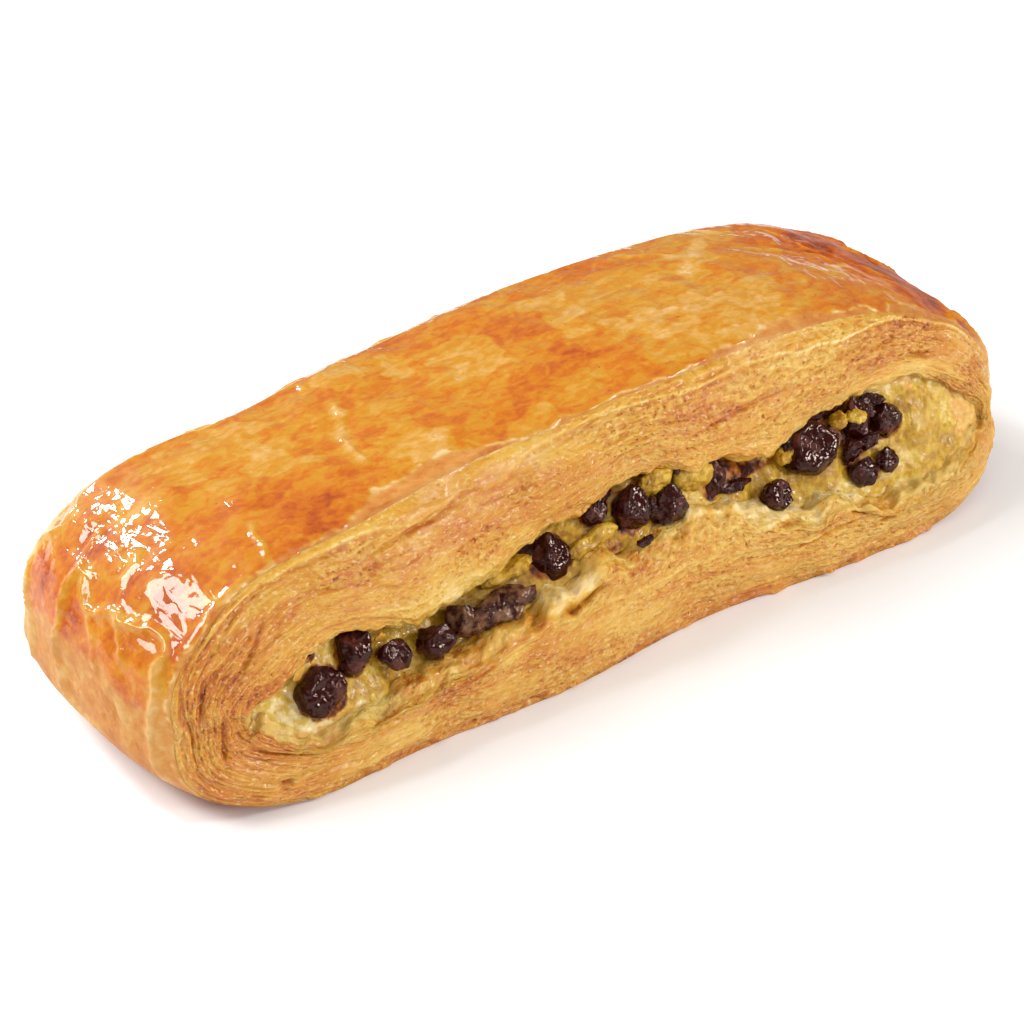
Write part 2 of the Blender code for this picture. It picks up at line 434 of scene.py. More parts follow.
    def skin(self, turn: Array, station: Array) -> Array:
        """Points of the skin: the outline drawn in towards the slit by the cube of the station.

        Args:
            turn: turns, one for each row.
            station: stations from -1 at the front rim to 1 at the back rim, one for each column.

        Returns:
            A grid of points.
        """
        x, z = self.outline(turn)
        pull = self.around(turn, self.pillow_top, self.pillow_base, self.pillow_end)
        halves = []
        for side in Side:
            inner_x, inner_z = self.slit(turn, side)
            length = np.hypot(x - inner_x, z - inner_z)
            share = (pull / length)[:, None] * np.abs(station)[None, :] ** 3
            across = np.abs(station)[None, :] * self.rim(turn, side)[:, None] * side.value
            halves.append(np.stack([
                x[:, None] + (inner_x - x)[:, None] * share,
                across + self.shift,
                np.maximum(z[:, None] + (inner_z - z)[:, None] * share, 0),
            ], axis=-1))
        return np.where((station < 0)[None, :, None], halves[0], halves[1])

    def face(self, turn: Array, side: Side, share: Array) -> Array:
        """Points of a cut face: straight from rim to slit in X and Z, swelling and tucking in along Y.

        Args:
            turn: turns, one for each row.
            side: which cut face.
            share: shares from 0 at the rim to 1 at the slit, one for each column.

        Returns:
            A grid of points.
        """
        rim = self.skin(turn, np.array([float(side.value)]))[:, 0]
        inner_x, inner_z = self.slit(turn, side)
        swell = np.sin(np.pi / 2 * np.clip(share / self.crown, 0, 1))
        tuck = self.lip_tuck * np.clip((share - self.lip_start) / (1 - self.lip_start), 0, None) ** 2
        y = self.rim(turn, side)[:, None] + self.bulge(turn)[:, None] * swell - tuck
        return np.stack([
            rim[:, :1] + (inner_x[:, None] - rim[:, :1]) * share,
            side.value * y + self.shift,
            np.maximum(rim[:, 2:] + (inner_z[:, None] - rim[:, 2:]) * share, 0),
        ], axis=-1)

    def lip(self, reach: Array, roof: float, side: Side) -> Array:
        """Points of one of the slit's lips.

        Args:
            reach: places along the slit, -1 to 1.
            roof: 1 for the upper lip, -1 for the lower one.
            side: which cut face.

        Returns:
            A row of points.
        """
        turn = roof * np.arccos(signed_power(reach, self.end_power / 2))
        x, z = self.slit(turn, side)
        y = side.value * (self.rim(turn, side) + self.bulge(turn) - self.lip_tuck) + self.shift
        return np.stack([x, y, z], axis=-1)

    def filling_depth(self, x: Array, z: Array, side: Side) -> Array:
        """The Y of the plane between the two lips, which goes a little past them.

        Args:
            x, z: places at the slit.
            side: which cut face.

        Returns:
            The plane's Y at each place.
        """
        reach = np.clip((x - self.slit_centre) / self.slit_reach, -0.999, 0.999)
        roof = self.lip(reach, 1, side)
        floor = self.lip(reach, -1, side)
        share = (z - floor[..., 2]) / np.maximum(roof[..., 2] - floor[..., 2], 0.5)
        return floor[..., 1] + (roof[..., 1] - floor[..., 1]) * np.clip(share, -0.3, 1.3)


@dataclass(frozen=True)
class Lips:
    """How far the slit's lips stray up or down from the smooth shape, in millimetres."""

    upper: tuple[tuple[Wave, ...], ...] = (
        several(
            Wave,
            (-2.2, -58, 4), (-1.2, -32, 6), (2.2, -12, 4), (1.5, 19, 6), (1.6, 36, 5), (2.0, 57, 6),
        ),
        several(Wave, (0.8, -30, 6), (-0.6, 10, 6), (0.8, 38, 6)),
    )
    lower: tuple[tuple[Wave, ...], ...] = (
        several(
            Wave,
            (-2.2, -55, 6), (-2.8, -39, 7), (-2.2, -28, 5), (1.3, -7, 5), (1.6, 14, 8), (-2.0, 30, 5),
            (-2.4, 46, 8), (-1.4, 59, 5),
        ),
        several(Wave, (-0.8, -44, 6), (0.6, -10, 6), (-0.8, 24, 6)),
    )

    def lift(self, x: Array, roof: Array, side: Side) -> Array:
        """The rise of the upper lip where roof is 1, or of the lower lip where it is -1."""
        return np.where(roof > 0, waves(x, self.upper[side.row]), waves(x, self.lower[side.row]))


LIPS = Lips()
LOAF = Loaf(length=float((CAD_BOUNDS[1] - CAD_BOUNDS[0])[0] / MM))


# --- Meshes from grids --------------------------------------------------------------------------


def grid_normals(points: Array) -> Array:
    """Unit normals of a grid whose rows run round a closed loop, from the cross of its two steps.

    Args:
        points: the grid.

    Returns:
        A normal for each point, pointing away from the pastry's middle on the whole.
    """
    along = np.roll(points, -1, axis=0) - np.roll(points, 1, axis=0)
    normals = np.cross(along, np.gradient(points, axis=1))
    normals /= np.linalg.norm(normals, axis=-1, keepdims=True) + TINY
    outward = points - np.array([0, 0, LOAF.seat])
    return normals * np.sign(np.sum(normals * outward))


def grid_faces(points: Array, closed: bool) -> Faces:
    """The corners of a grid's quads; its columns always close on themselves.

    Args:
        points: the grid.
        closed: whether the last row joins the first.

    Returns:
        Four point numbers for each quad.
    """
    rows, columns = points.shape[:2]
    row = np.arange(rows if closed else rows - 1)[:, None]
    column = np.arange(columns)[None, :]
    next_row = (row + 1) % rows
    next_column = (column + 1) % columns
    corners = (
        row * columns + column,
        row * columns + next_column,
        next_row * columns + next_column,
        next_row * columns + column,
    )
    return np.stack(corners, axis=-1).reshape(-1, 4).tolist()


def add_object(name: str, data: bpy.types.ID) -> bpy.types.Object:
    """A new object in the scene, which holds a mesh, a lamp or a camera.

    Args:
        name: the object's name.
        data: what it holds.

    Returns:
        The object.
    """
    thing = bpy.data.objects.new(name, data)
    bpy.context.scene.collection.objects.link(thing)
    return thing


def make_piece(name: str, points: Array, faces: Faces) -> bpy.types.Object:
    """An object at the origin whose smooth mesh holds the points, with every face pointing out.

    Args:
        name: the piece's name.
        points: places in millimetres.
        faces: point numbers of each face.

    Returns:
        The new object, riding on the pastry's one body.
    """
    mesh = bpy.data.meshes.new(name)
    mesh.from_pydata((points.reshape(-1, 3) * MM).tolist(), [], faces)
    shape = bmesh.new()
    shape.from_mesh(mesh)
    bmesh.ops.recalc_face_normals(shape, faces=shape.faces)
    shape.to_mesh(mesh)
    shape.free()
    mesh.shade_smooth()
    piece = add_object(name, mesh)
    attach(piece, ROOT)
    LOG.info("%s: %d faces", name, len(mesh.polygons))
    return piece


def add_values(piece: bpy.types.Object, **values: Array) -> None:
    """Store one number for each point under each name, for the piece's material to read.

    Args:
        piece: the piece.
        values: the numbers, by name.
    """
    for name, numbers in values.items():
        layer = piece.data.attributes.new(name, "FLOAT", "POINT")
        layer.data.foreach_set("value", np.asarray(numbers, dtype=np.float32).ravel())


def add_map(piece: bpy.types.Object, across: Array, along: Array) -> None:
    """Store a UV map.

    Args:
        piece: the piece.
        across, along: each point's two places on the map.
    """
    corners = np.empty(len(piece.data.loops), dtype=np.int32)
    piece.data.loops.foreach_get("vertex_index", corners)
    both = np.stack([across.ravel(), along.ravel()], axis=-1)[corners]
    layer = piece.data.uv_layers.new(name="UVMap")
    layer.data.foreach_set("uv", both.astype(np.float32).ravel())


# --- Materials ----------------------------------------------------------------------------------


class Shader:
    """A Principled material and the short calls that wire its nodes."""

    def __init__(self, name: str, roughness: float) -> None:
        """Start a material with one Principled shader.

        Args:
            name: the material's name.
            roughness: its roughness.
        """
        self.material = bpy.data.materials.new(name)
        self.material.use_nodes = True
        self.nodes = self.material.node_tree.nodes
        self.links = self.material.node_tree.links
        self.surface = self.nodes["Principled BSDF"]
        self.place = self.nodes.new("ShaderNodeTexCoord")
        self.set(roughness=roughness)

    def set(self, **values: object) -> None:
        """Set or link the shader's sockets, named in lower case with underscores."""
        for name, value in values.items():
            self.feed(self.surface.inputs[name.replace("_", " ").title().replace("Ior", "IOR")], value)

    def feed(self, target: Socket, value: object) -> None:
        """Link a socket to the target, or set the target to a plain value.

        Args:
            target: the socket to feed.
            value: another node's socket, or a number or colour.
        """
        if isinstance(value, Socket):
            self.links.new(value, target)
        else:
            target.default_value = value

    def value(self, name: str) -> Socket:
        """One of the piece's stored numbers.

        Args:
            name: the number's name.

        Returns:
            The number.
        """
        node = self.nodes.new("ShaderNodeAttribute")
        node.attribute_name = name
        return node.outputs["Fac"]

    def noise(
        self,
        size: float,
        detail: float = 3.0,
        stretch: Vector = (1, 1, 1),
        mapped: bool = False,
        distortion: float = 0.0,
    ) -> Socket:
        """Noise whose lumps are about size millimetres across.

        Args:
            size: lump size.
            detail: number of finer layers.
            stretch: how many times longer the lumps are along each axis.
            mapped: whether it follows the piece's UV map instead of the object's space.
            distortion: how far the pattern is bent.

        Returns:
            The noise as a number.
        """
        scale = self.nodes.new("ShaderNodeMapping")
        unit = 1.0 if mapped else 1 / MM
        scale.inputs["Scale"].default_value = [unit / size / part for part in stretch]
        self.links.new(self.place.outputs["UV" if mapped else "Object"], scale.inputs["Vector"])
        node = self.nodes.new("ShaderNodeTexNoise")
        node.inputs["Scale"].default_value = 1.0
        node.inputs["Detail"].default_value = detail
        node.inputs["Distortion"].default_value = distortion
        self.links.new(scale.outputs["Vector"], node.inputs["Vector"])
        return node.outputs["Fac"]

    def spread(self, value: object, *limits: float) -> Socket:
        """A number carried smoothly from one range to another and held inside it.

        Args:
            value: the number.
            limits: the low and high ends of its range, then those of the new one, 0 and 1 if left out.

        Returns:
            The new number.
        """
        node = self.nodes.new("ShaderNodeMapRange")
        node.interpolation_type = "SMOOTHSTEP"
        for index, part in enumerate((value, *limits)):
            self.feed(node.inputs[index], part)
        return node.outputs["Result"]

    def patches(self, limits: Sequence[float], *sizes: float, **kind: object) -> Socket:
        """Noise of these sizes and this kind, spread between limits into patches with soft edges."""
        return self.spread(self.noise(*sizes, **kind), *limits)

    def maths(self, operation: str, first: object, second: object) -> Socket:
        """One operation on two numbers.

        Args:
            operation: the operation's name.
            first, second: the numbers.

        Returns:
            The result.
        """
        node = self.nodes.new("ShaderNodeMath")
        node.operation = operation
        self.feed(node.inputs[0], first)
        self.feed(node.inputs[1], second)
        return node.outputs[0]

    def add(self, first: object, *others: object) -> Socket:
        """The sum of two or more numbers.

        Args:
            first: the first number.
            others: the numbers added to it in turn.

        Returns:
            The sum.
        """
        for other in others:
            first = self.maths("ADD", first, other)
        return first

    def times(self, first: object, second: object) -> Socket:
        """The product of two numbers."""
        return self.maths("MULTIPLY", first, second)

    def ramp(self, value: object, *stops: tuple[float, Colour]) -> Socket:
        """A colour read off a row of colours.

        Args:
            value: where to read, 0 to 1.
            stops: each colour with its place.

        Returns:
            The colour.
        """
        node = self.nodes.new("ShaderNodeValToRGB")
        self.feed(node.inputs["Fac"], value)
        bar = node.color_ramp.elements
        while len(bar) < len(stops):
            bar.new(0.5)
        for element, (place, colour) in zip(bar, stops):
            element.position = place
            element.color = (*colour, 1)
        return node.outputs["Color"]

    def mix(self, share: object, first: object, second: object) -> Socket:
        """A blend of two colours.

        Args:
            share: how much of the second there is, 0 to 1.
            first, second: the colours.

        Returns:
            The blend.
        """
        node = self.nodes.new("ShaderNodeMix")
        node.data_type = "RGBA"
        for socket, part in zip((node.inputs[0], node.inputs[6], node.inputs[7]), (share, first, second)):
            self.feed(socket, (*part, 1) if isinstance(part, tuple) else part)
        return node.outputs[2]

    def bump(self, height: object, depth: float, over: object = None) -> Socket:
        """A normal bent by a height.

        Args:
            height: the height, 0 to 1.
            depth: what a height of 1 stands for, in millimetres.
            over: a normal that is already bent, if there is one.

        Returns:
            The normal.
        """
        node = self.nodes.new("ShaderNodeBump")
        node.inputs["Distance"].default_value = depth * MM
        node.inputs["Strength"].default_value = 1.0
        self.feed(node.inputs["Height"], height)
        if over is not None:
            self.feed(node.inputs["Normal"], over)
        return node.outputs["Normal"]


@dataclass(frozen=True)
class GlazedCrust:
    """Egg-washed skin: cream to red-brown by how far it is baked, under a brushed, uneven gloss."""

    cream: Colour = srgb(224, 196, 146)
    pale: Colour = srgb(210, 158, 82)
    yellow: Colour = srgb(199, 139, 33)
    orange: Colour = srgb(197, 111, 17)
    deep: Colour = srgb(180, 82, 18)
    brown: Colour = srgb(132, 54, 20)
    speck: Colour = srgb(70, 32, 18)
    matt_pale: Colour = srgb(216, 176, 112)
    matt_tan: Colour = srgb(199, 137, 68)
    matt_toast: Colour = srgb(182, 106, 44)
    roughness: float = 0.5
    coat_roughness: float = 0.05
    brush_depth: float = 0.095
    grain_depth: float = 0.014

    def material(self) -> bpy.types.Material:
        """Make the material, which reads the piece's bake, glaze and bare values.

        Noise of three sizes shifts the bake, which picks a colour off the glazed row and another off
        the matt row, and bare says how much of the matt one shows. Brush marks bend the gloss alone.

        Returns:
            The material.
        """
        shader = Shader("glazed_crust", self.roughness)
        mottle = shader.patches((0.40, 0.60, -0.07, 0.07), 3.4, 4, stretch=(1.8, 1, 1), distortion=0.9)
        blot = shader.patches((0.46, 0.56, -0.05, 0.05), 1.6, stretch=(1.5, 1, 1), distortion=0.6)
        dapple = shader.patches((0.35, 0.65, -0.045, 0.045), 0.8, stretch=(1.4, 1, 1), distortion=0.5)
        bake = shader.add(shader.value("bake"), mottle, blot, dapple)
        glazed = shader.ramp(
            bake,
            (0.0, self.cream),
            (0.22, self.pale),
            (0.42, self.yellow),
            (0.62, self.orange),
            (0.82, self.deep),
            (1.0, self.brown),
        )
        matt = shader.ramp(
            bake, (0.0, self.matt_pale), (0.4, self.matt_tan), (0.7, self.matt_toast), (1.0, self.brown)
        )
        colour = shader.mix(shader.value("bare"), glazed, matt)
        specks = shader.patches((0.79, 0.83), 0.9, 1)
        colour = shader.mix(shader.times(specks, 0.75), colour, self.speck)
        fine = shader.bump(shader.noise(0.6, 2, stretch=(1.6, 1, 1)), self.grain_depth)
        brush = shader.patches((0.37, 0.63), 2.6, 2, stretch=(1, 2.2, 1), distortion=0.5)
        shader.set(base_color=colour, specular_ior_level=0.15, normal=fine)
        shader.set(coat_weight=shader.value("glaze"), coat_roughness=self.coat_roughness, coat_ior=1.5)
        shader.set(coat_normal=shader.bump(brush, self.brush_depth, over=fine))
        shader.set(subsurface_weight=0.1, subsurface_radius=(1.0, 0.45, 0.15), subsurface_scale=1.0 * MM)
        return shader.material


@dataclass(frozen=True)
class Crumb:
    """Cut laminated dough: fine fibres and small pits along the layers, wet enough to glint."""

    cream: Colour = srgb(234, 208, 148)
    straw: Colour = srgb(217, 175, 80)
    gold: Colour = srgb(205, 146, 47)
    toast: Colour = srgb(190, 106, 24)
    brown: Colour = srgb(138, 62, 16)
    soaked: Colour = srgb(216, 184, 100)
    roughness: float = 0.5
    coat_roughness: float = 0.07
    fibre_depth: float = 0.10
    crumb_depth: float = 0.38
    glint_depth: float = 0.19

    def material(self) -> bpy.types.Material:
        """Make the material, which reads the piece's bake, porous and wet values and its map.

        The map runs along the layers, so the noise does too. Porous crumb has more grain and pits.

        Returns:
            The material.
        """
        shader = Shader("laminated_crumb", self.roughness)
        porous = shader.value("porous")
        fibre = shader.noise(0.35, stretch=(3.5, 1, 1), mapped=True, distortion=0.5)
        crumbs = shader.noise(0.75, 4, stretch=(1.4, 1, 1), mapped=True, distortion=0.7)
        mottle = shader.noise(4.5, stretch=(2.2, 1, 1), mapped=True, distortion=0.5)
        pits = shader.patches((0.64, 0.74), 0.6, 1, stretch=(1.3, 1, 1), mapped=True)
        pale_flecks_and_glints = shader.patches((0.57, 0.70), 0.45, 2, stretch=(1.7, 1, 1), mapped=True, distortion=0.6)
        # Painted shade: low crumbs and pits are painted darker and raised crumbs lighter, following the
        # bump below.
        grain = shader.add(shader.spread(crumbs, 0.35, 0.65, 0.13, -0.13), shader.times(pits, 0.26))
        bake = shader.add(
            shader.value("bake"),
            shader.times(grain, porous),
            shader.spread(fibre, 0.3, 0.7, 0.06, -0.06),
            shader.spread(mottle, 0.35, 0.65, 0.05, -0.05),
        )
        colour = shader.ramp(
            bake,
            (0.0, self.cream),
            (0.25, self.straw),
            (0.5, self.gold),
            (0.75, self.toast),
            (1.0, self.brown),
        )
        # Pale flecks along the layers: partly the dough's own pale strands, partly painted glints.
        colour = shader.mix(shader.times(pale_flecks_and_glints, 0.5), colour, self.cream)
        wet = shader.spread(shader.add(shader.value("wet"), mottle, -0.5), 0.35, 1.0)
        colour = shader.mix(shader.times(wet, 0.7), colour, self.soaked)
        raised = shader.add(crumbs, shader.times(pits, -0.5))
        normal = shader.bump(fibre, self.fibre_depth)
        normal = shader.bump(shader.times(raised, porous), self.crumb_depth, over=normal)
        glint = shader.noise(0.6, 2, stretch=(1.8, 1, 1), mapped=True)
        shader.set(base_color=colour, specular_ior_level=0.2, normal=normal)
        shader.set(coat_weight=0.6, coat_roughness=self.coat_roughness)
        shader.set(coat_normal=shader.bump(glint, self.glint_depth, over=normal))
        shader.set(subsurface_weight=0.2, subsurface_radius=(1.0, 0.55, 0.25), subsurface_scale=1.4 * MM)
        return shader.material


@dataclass(frozen=True)
class BakedCustard:
    """Yellow custard with a wet, finely pitted surface, stained dark by the chocolate."""

    cream: Colour = srgb(228, 204, 146)
    light: Colour = srgb(208, 172, 58)
    yellow: Colour = srgb(192, 146, 38)
    olive: Colour = srgb(152, 108, 26)
    stain: Colour = srgb(54, 10, 6)
    rust: Colour = srgb(150, 78, 18)
    straw: Colour = srgb(220, 180, 98)
    gold: Colour = srgb(206, 148, 60)
    roughness: float = 0.34
    coat_roughness: float = 0.08
    pit_depth: float = 0.12
    lump_depth: float = 0.45

    def material(self) -> bpy.types.Material:
        """Make the material, which reads the piece's tone, stain and dough values.

        Tone picks the yellow, dough lays straw-coloured pastry over it, and stain goes from rust to
        nearly black and takes the wet gloss off. Noise makes all three patchy.

        Returns:
            The material.
        """
        shader = Shader("baked_custard", self.roughness)
        tone = shader.add(shader.value("tone"), shader.patches((0.34, 0.66, -0.22, 0.22), 1.1, 4))
        colour = shader.ramp(
            tone, (0.0, self.cream), (0.25, self.light), (0.55, self.yellow), (1.0, self.olive)
        )
        fibre = shader.noise(0.8, 4, stretch=(1.9, 1, 1))
        dough = shader.ramp(fibre, (0.35, self.straw), (0.65, self.gold))
        share = shader.add(shader.value("dough"), shader.patches((0.3, 0.7, -0.4, 0.4), 1.6, 4))
        colour = shader.mix(shader.spread(share, 0.4, 0.6), colour, dough)
        stain = shader.add(shader.value("stain"), shader.patches((0.3, 0.7, -0.2, 0.2), 1.8, 2))
        colour = shader.mix(shader.spread(stain, 0.3, 0.6), colour, self.rust)
        colour = shader.mix(shader.spread(stain, 0.55, 0.8), colour, self.stain)
        normal = shader.bump(shader.noise(0.5), self.pit_depth)
        normal = shader.bump(shader.noise(1.6, 2), self.lump_depth, over=normal)
        shader.set(base_color=colour, specular_ior_level=0.2, normal=normal)
        shader.set(coat_weight=shader.spread(stain, 0.1, 0.5, 0.5, 0.08), coat_normal=normal)
        shader.set(coat_roughness=self.coat_roughness)
        shader.set(subsurface_weight=0.4, subsurface_radius=(1.0, 0.8, 0.3), subsurface_scale=1.6 * MM)
        return shader.material


@dataclass(frozen=True)
class DarkChocolate:
    """Melted and set dark chocolate: nearly black, crackled and glossy, with a film of custard on some."""

    dark: Colour = srgb(46, 10, 8)
    dusty: Colour = srgb(98, 50, 42)
    veil: Colour = srgb(122, 84, 58)
    roughness: float = 0.26
    gloss: tuple[float, float] = (0.08, 0.2)
    crackle_depth: float = 0.02
    dent_depth: float = 0.13

    def material(self) -> bpy.types.Material:
        """Make the material, which reads the piece's veil value.

        Dust makes patches lighter and duller between the two gloss values, and the veil's patches
        are custard.

        Returns:
            The material.
        """
        shader = Shader("dark_chocolate", self.roughness)
        dust = shader.patches((0.52, 0.66), 2.4)
        colour = shader.mix(shader.times(dust, 0.55), self.dark, self.dusty)
        film = shader.times(shader.value("veil"), shader.patches((0.42, 0.68), 1.4, 4))
        colour = shader.mix(film, colour, self.veil)
        normal = shader.bump(shader.noise(0.35, 2), self.crackle_depth)
        normal = shader.bump(shader.noise(1.2, 2, stretch=(1, 1, 1.6)), self.dent_depth, over=normal)
        shader.set(base_color=colour, roughness=shader.spread(dust, 0.0, 1.0, *self.gloss), normal=normal)
        shader.set(specular_ior_level=0.3, specular_tint=(1.0, 0.8, 0.7, 1.0))
        return shader.material


# --- Pieces -------------------------------------------------------------------------------------


@dataclass(frozen=True)
class Crease:
    """A wrinkle along a line: its corners, half width and height in millimetres, and how pale it is."""

    line: tuple[tuple[float, ...], ...]
    width: float
    height: float
    wiped: float


@dataclass(frozen=True)
class Facet:
    """A flattened place on the crust: its middle, the way it looks, its radius and how flat it is."""

    middle: Vector
    way: Vector
    radius: float
    share: float

    def rise(self, points: Array, normals: Array) -> Array:
        """The height that brings points near the middle towards the plane through it.

        Args:
            points: places on the skin.
            normals: its normals, along which the points move.

        Returns:
            The height of each point, which is negative above the plane.
        """
        offset = points - np.array(self.middle)
        way = np.array(self.way) / np.linalg.norm(self.way)
        near = np.exp(-((np.linalg.norm(offset, axis=-1) / self.radius) ** 4))
        return -self.share * near * (offset @ way) / np.maximum(normals @ way, 0.4)


@dataclass
class Crust:
    """The glazed skin over the loop, turned down over both rims, where the glaze ends in a thin edge.

    Lengths are in millimetres, and flap is a share of the cut face. A level is a bake value to start
    from, a pale value is how much bake something takes off, and the rim values round the corners.
    """

    rows: int = 880
    columns: int = 86
    flap: float = 0.034
    flap_steps: int = 6
    flap_depth: float = 0.7
    swell: float = 0.36
    ripple: float = 0.18
    grain: float = 0.035
    crumple: float = 0.85
    glaze_rise: float = 0.16
    glaze_line: float = 19.0
    glaze_least: float = 0.04
    bake_level: float = 0.54
    bare_level: float = 0.36
    fringe_level: float = 0.14
    mottle: float = 0.10
    blister_pale: float = 0.17
    crease_pale: float = 0.30
    edge_highlight_strength: float = 0.42
    crowding: float = 0.45
    flap_least: float = 0.15
    rim_width: float = 4.0
    rim_passes: int = 10
    rim_pull: float = 0.6
    share_steps: int = 6001
    base_height: float = 1.0
    base_weight: float = 0.3
    creases: tuple[Crease, ...] = (
        Crease(((-54, 14, 33), (-47, 10, 35), (-42, 9, 35), (-37, 11, 35), (-33, 13, 35)), 0.6, 0.35, 0.4),
        Crease(((-66, 8, 30), (-70, 6, 27), (-74, 5, 21)), 0.8, 0.55, 0.8),
        Crease(
            ((-66, -1, 30), (-71, -5, 26), (-73, -8, 22), (-74, -11, 16), (-73, -12, 10)), 0.8, 0.6, 0.9
        ),
        Crease(((-72, 0, 25), (-74, -4, 19), (-74, 1, 13)), 0.7, 0.5, 0.8),
        Crease(((-51, -9, 35), (-53, -13, 34), (-55, -17, 32)), 0.8, 0.5, 0.8),
        Crease(((-29, 14, 36), (-30, 5, 37), (-33, -2, 36), (-33, -9, 36)), 0.8, 0.45, 0.8),
        Crease(((26, 13, 38), (33, 8, 38), (45, 5, 37), (54, 1, 35), (54, -8, 34)), 0.6, 0.4, 0.7),
        Crease(((40, 14, 37), (52, 8, 35), (57, 0, 33), (63, -6, 31)), 0.7, 0.5, 0.7),
        Crease(((48, 12, 36), (56, 6, 34), (62, 2, 31)), 0.6, 0.4, 0.6),
    )
    facets: tuple[Facet, ...] = (
        Facet((-67.6, -12.0, 27.8), (-0.635, -0.20, 0.745), 6.5, 0.85),
        Facet((-68.0, -4.0, 28.6), (-0.61, -0.05, 0.79), 4.0, 0.7),
        Facet((-61.0, 4.0, 32.4), (-0.50, 0.08, 0.86), 5.0, 0.7),
        Facet((-53.0, -3.0, 34.6), (-0.28, 0.0, 0.96), 5.0, 0.6),
    )
    browning: tuple[Spot, ...] = several(
        Spot,
        (-45, -11, 10, 6, 0.24), (-60, -6, 9, 9, 0.10), (-66, 9, 7, 6, 0.20), (-24, -6, 12, 4, 0.10),
        (0, -7, 9, 3, 0.10), (54, 4, 9, 9, 0.26), (50, -10, 8, 4, 0.14), (66, 0, 8, 16, 0.44),
        (58, 12, 9, 7, 0.14), (-73, 4, 5, 12, 0.06), (-71, 9, 4, 5, 0.10), (-70, -6, 3, 4, 0.12),
        (27, 0, 13, 6, -0.12), (14, -10, 12, 3, -0.12), (-22, -11, 5, 3, -0.14), (-5, -2, 7, 3, -0.08),
        (14, 3, 9, 3, -0.08),
    )
    blisters: tuple[Spot, ...] = several(
        Spot,
        (-13, -13.5, 4, 1.5, 1.0), (-8, -13, 3, 1.2, 0.8), (12, -13.5, 3, 1.2, 0.8), (17, -14, 4, 1.3, 1.0),
        (28, -14, 4, 1.2, 0.8), (-2, -9, 6, 2.0, 0.7), (-23, -10, 5, 2.0, 0.7), (2, -4, 6, 2.5, 0.5),
        (24, -2, 8, 4, 0.4),
    )
    edge_line: tuple[Wave, ...] = several(
        Wave,
        (-3.0, -27, 7), (-2.2, -36, 5), (-1.6, 35, 12), (-1.6, 62, 6),
    )

    def shares(self) -> Array:
        """Loop shares, packed about three times as close where the skin shows as on the flat base.

        Returns:
            A share for each row.
        """
        fine = np.linspace(0, 1, self.share_steps)
        _, z = LOAF.outline(LOAF.turns(fine))
        weight = np.where(z > self.base_height, 1.0, self.base_weight)
        travelled = np.concatenate([[0], np.cumsum((weight[1:] + weight[:-1]) / 2)])
        return np.interp(np.arange(self.rows) / self.rows * travelled[-1], travelled, fine)

    def grid(self, loop: Array) -> tuple[Array, Array]:
        """The smooth skin and its flaps over the rims, with the corners between them rounded.

        Columns stand closer near the rims, and a flap's length is ragged by noise.

        Args:
            loop: loop shares, one for each row.

        Returns:
            The grid, and each column's distance past the nearest rim in millimetres.
        """
        turn = LOAF.turns(loop)
        even = np.linspace(-1, 1, self.columns)
        station = (1 - self.crowding) * even + self.crowding * np.sin(np.pi / 2 * even)
        skin = LOAF.skin(turn, station)
        shares = np.linspace(0, self.flap, self.flap_steps + 1)[1:]
        ragged = 0.55 + 0.9 * ring_noise(loop, 110, 11)
        spread = step(np.sin(turn), -0.9, -0.3) * ragged * (1 - 0.7 * np.cos(turn) ** 4)
        length = (self.flap_least + (1 - self.flap_least) * spread)[:, None, None]
        front = skin[:, :1] + (LOAF.face(turn, Side.FRONT, shares)[:, ::-1] - skin[:, :1]) * length
        back = skin[:, -1:] + (LOAF.face(turn, Side.BACK, shares) - skin[:, -1:]) * length
        points = np.concatenate([front, skin, back], axis=1)
        rims = (self.flap_steps, self.flap_steps + self.columns - 1)
        self.round_rims(points, rims)
        steps = np.linalg.norm(np.diff(points, axis=1), axis=-1)
        travelled = np.concatenate([np.zeros((len(loop), 1)), np.cumsum(steps, axis=1)], axis=1)
        past_front = travelled[:, rims[0], None] - travelled
        past_back = travelled - travelled[:, rims[1], None]
        return points, np.maximum(past_front, past_back)

    def round_rims(self, points: Array, rims: tuple[int, int]) -> None:
        """Round the corners: each point near a rim moves again and again towards its neighbours' middle.

        Args:
            points: the grid, which changes.
            rims: the two rims' columns.
        """
        column = np.arange(1, points.shape[1] - 1)
        near = sum(bell(column, rim, self.rim_width) for rim in rims)[None, :, None]
        for _ in range(self.rim_passes):
            middle = (points[:, :-2] + points[:, 2:]) / 2
            points[:, 1:-1] += (middle - points[:, 1:-1]) * self.rim_pull * near

    def build(self) -> bpy.types.Object:
        """Make the crust: the smooth skin moved along its normals by wrinkles, glaze and facets.

        Returns:
            The piece, which stands for part of the dough.
        """
        loop = self.shares()
        smooth, past = self.grid(loop)
        normals = grid_normals(smooth)
        height, wiped = self.wrinkles(smooth)
        values, cover = self.values(smooth, normals, past, wiped)
        height *= 1 - step(past, -1.6, 0.4)
        height += self.glaze_rise * cover
        for facet in self.facets:
            height += facet.rise(smooth, normals)
        shown = step(normals[..., 2], -0.6, 0.0)
        points = self.tuck_in(smooth + normals * (height * shown)[..., None], normals)
        points[..., 2] = np.maximum(points[..., 2], 0)
        piece = make_piece("crust", points, grid_faces(points, closed=True))
        padding = ((0, 0), (1, 1))
        add_values(piece, **{name: np.pad(value, padding, "edge") for name, value in values.items()})
        return piece

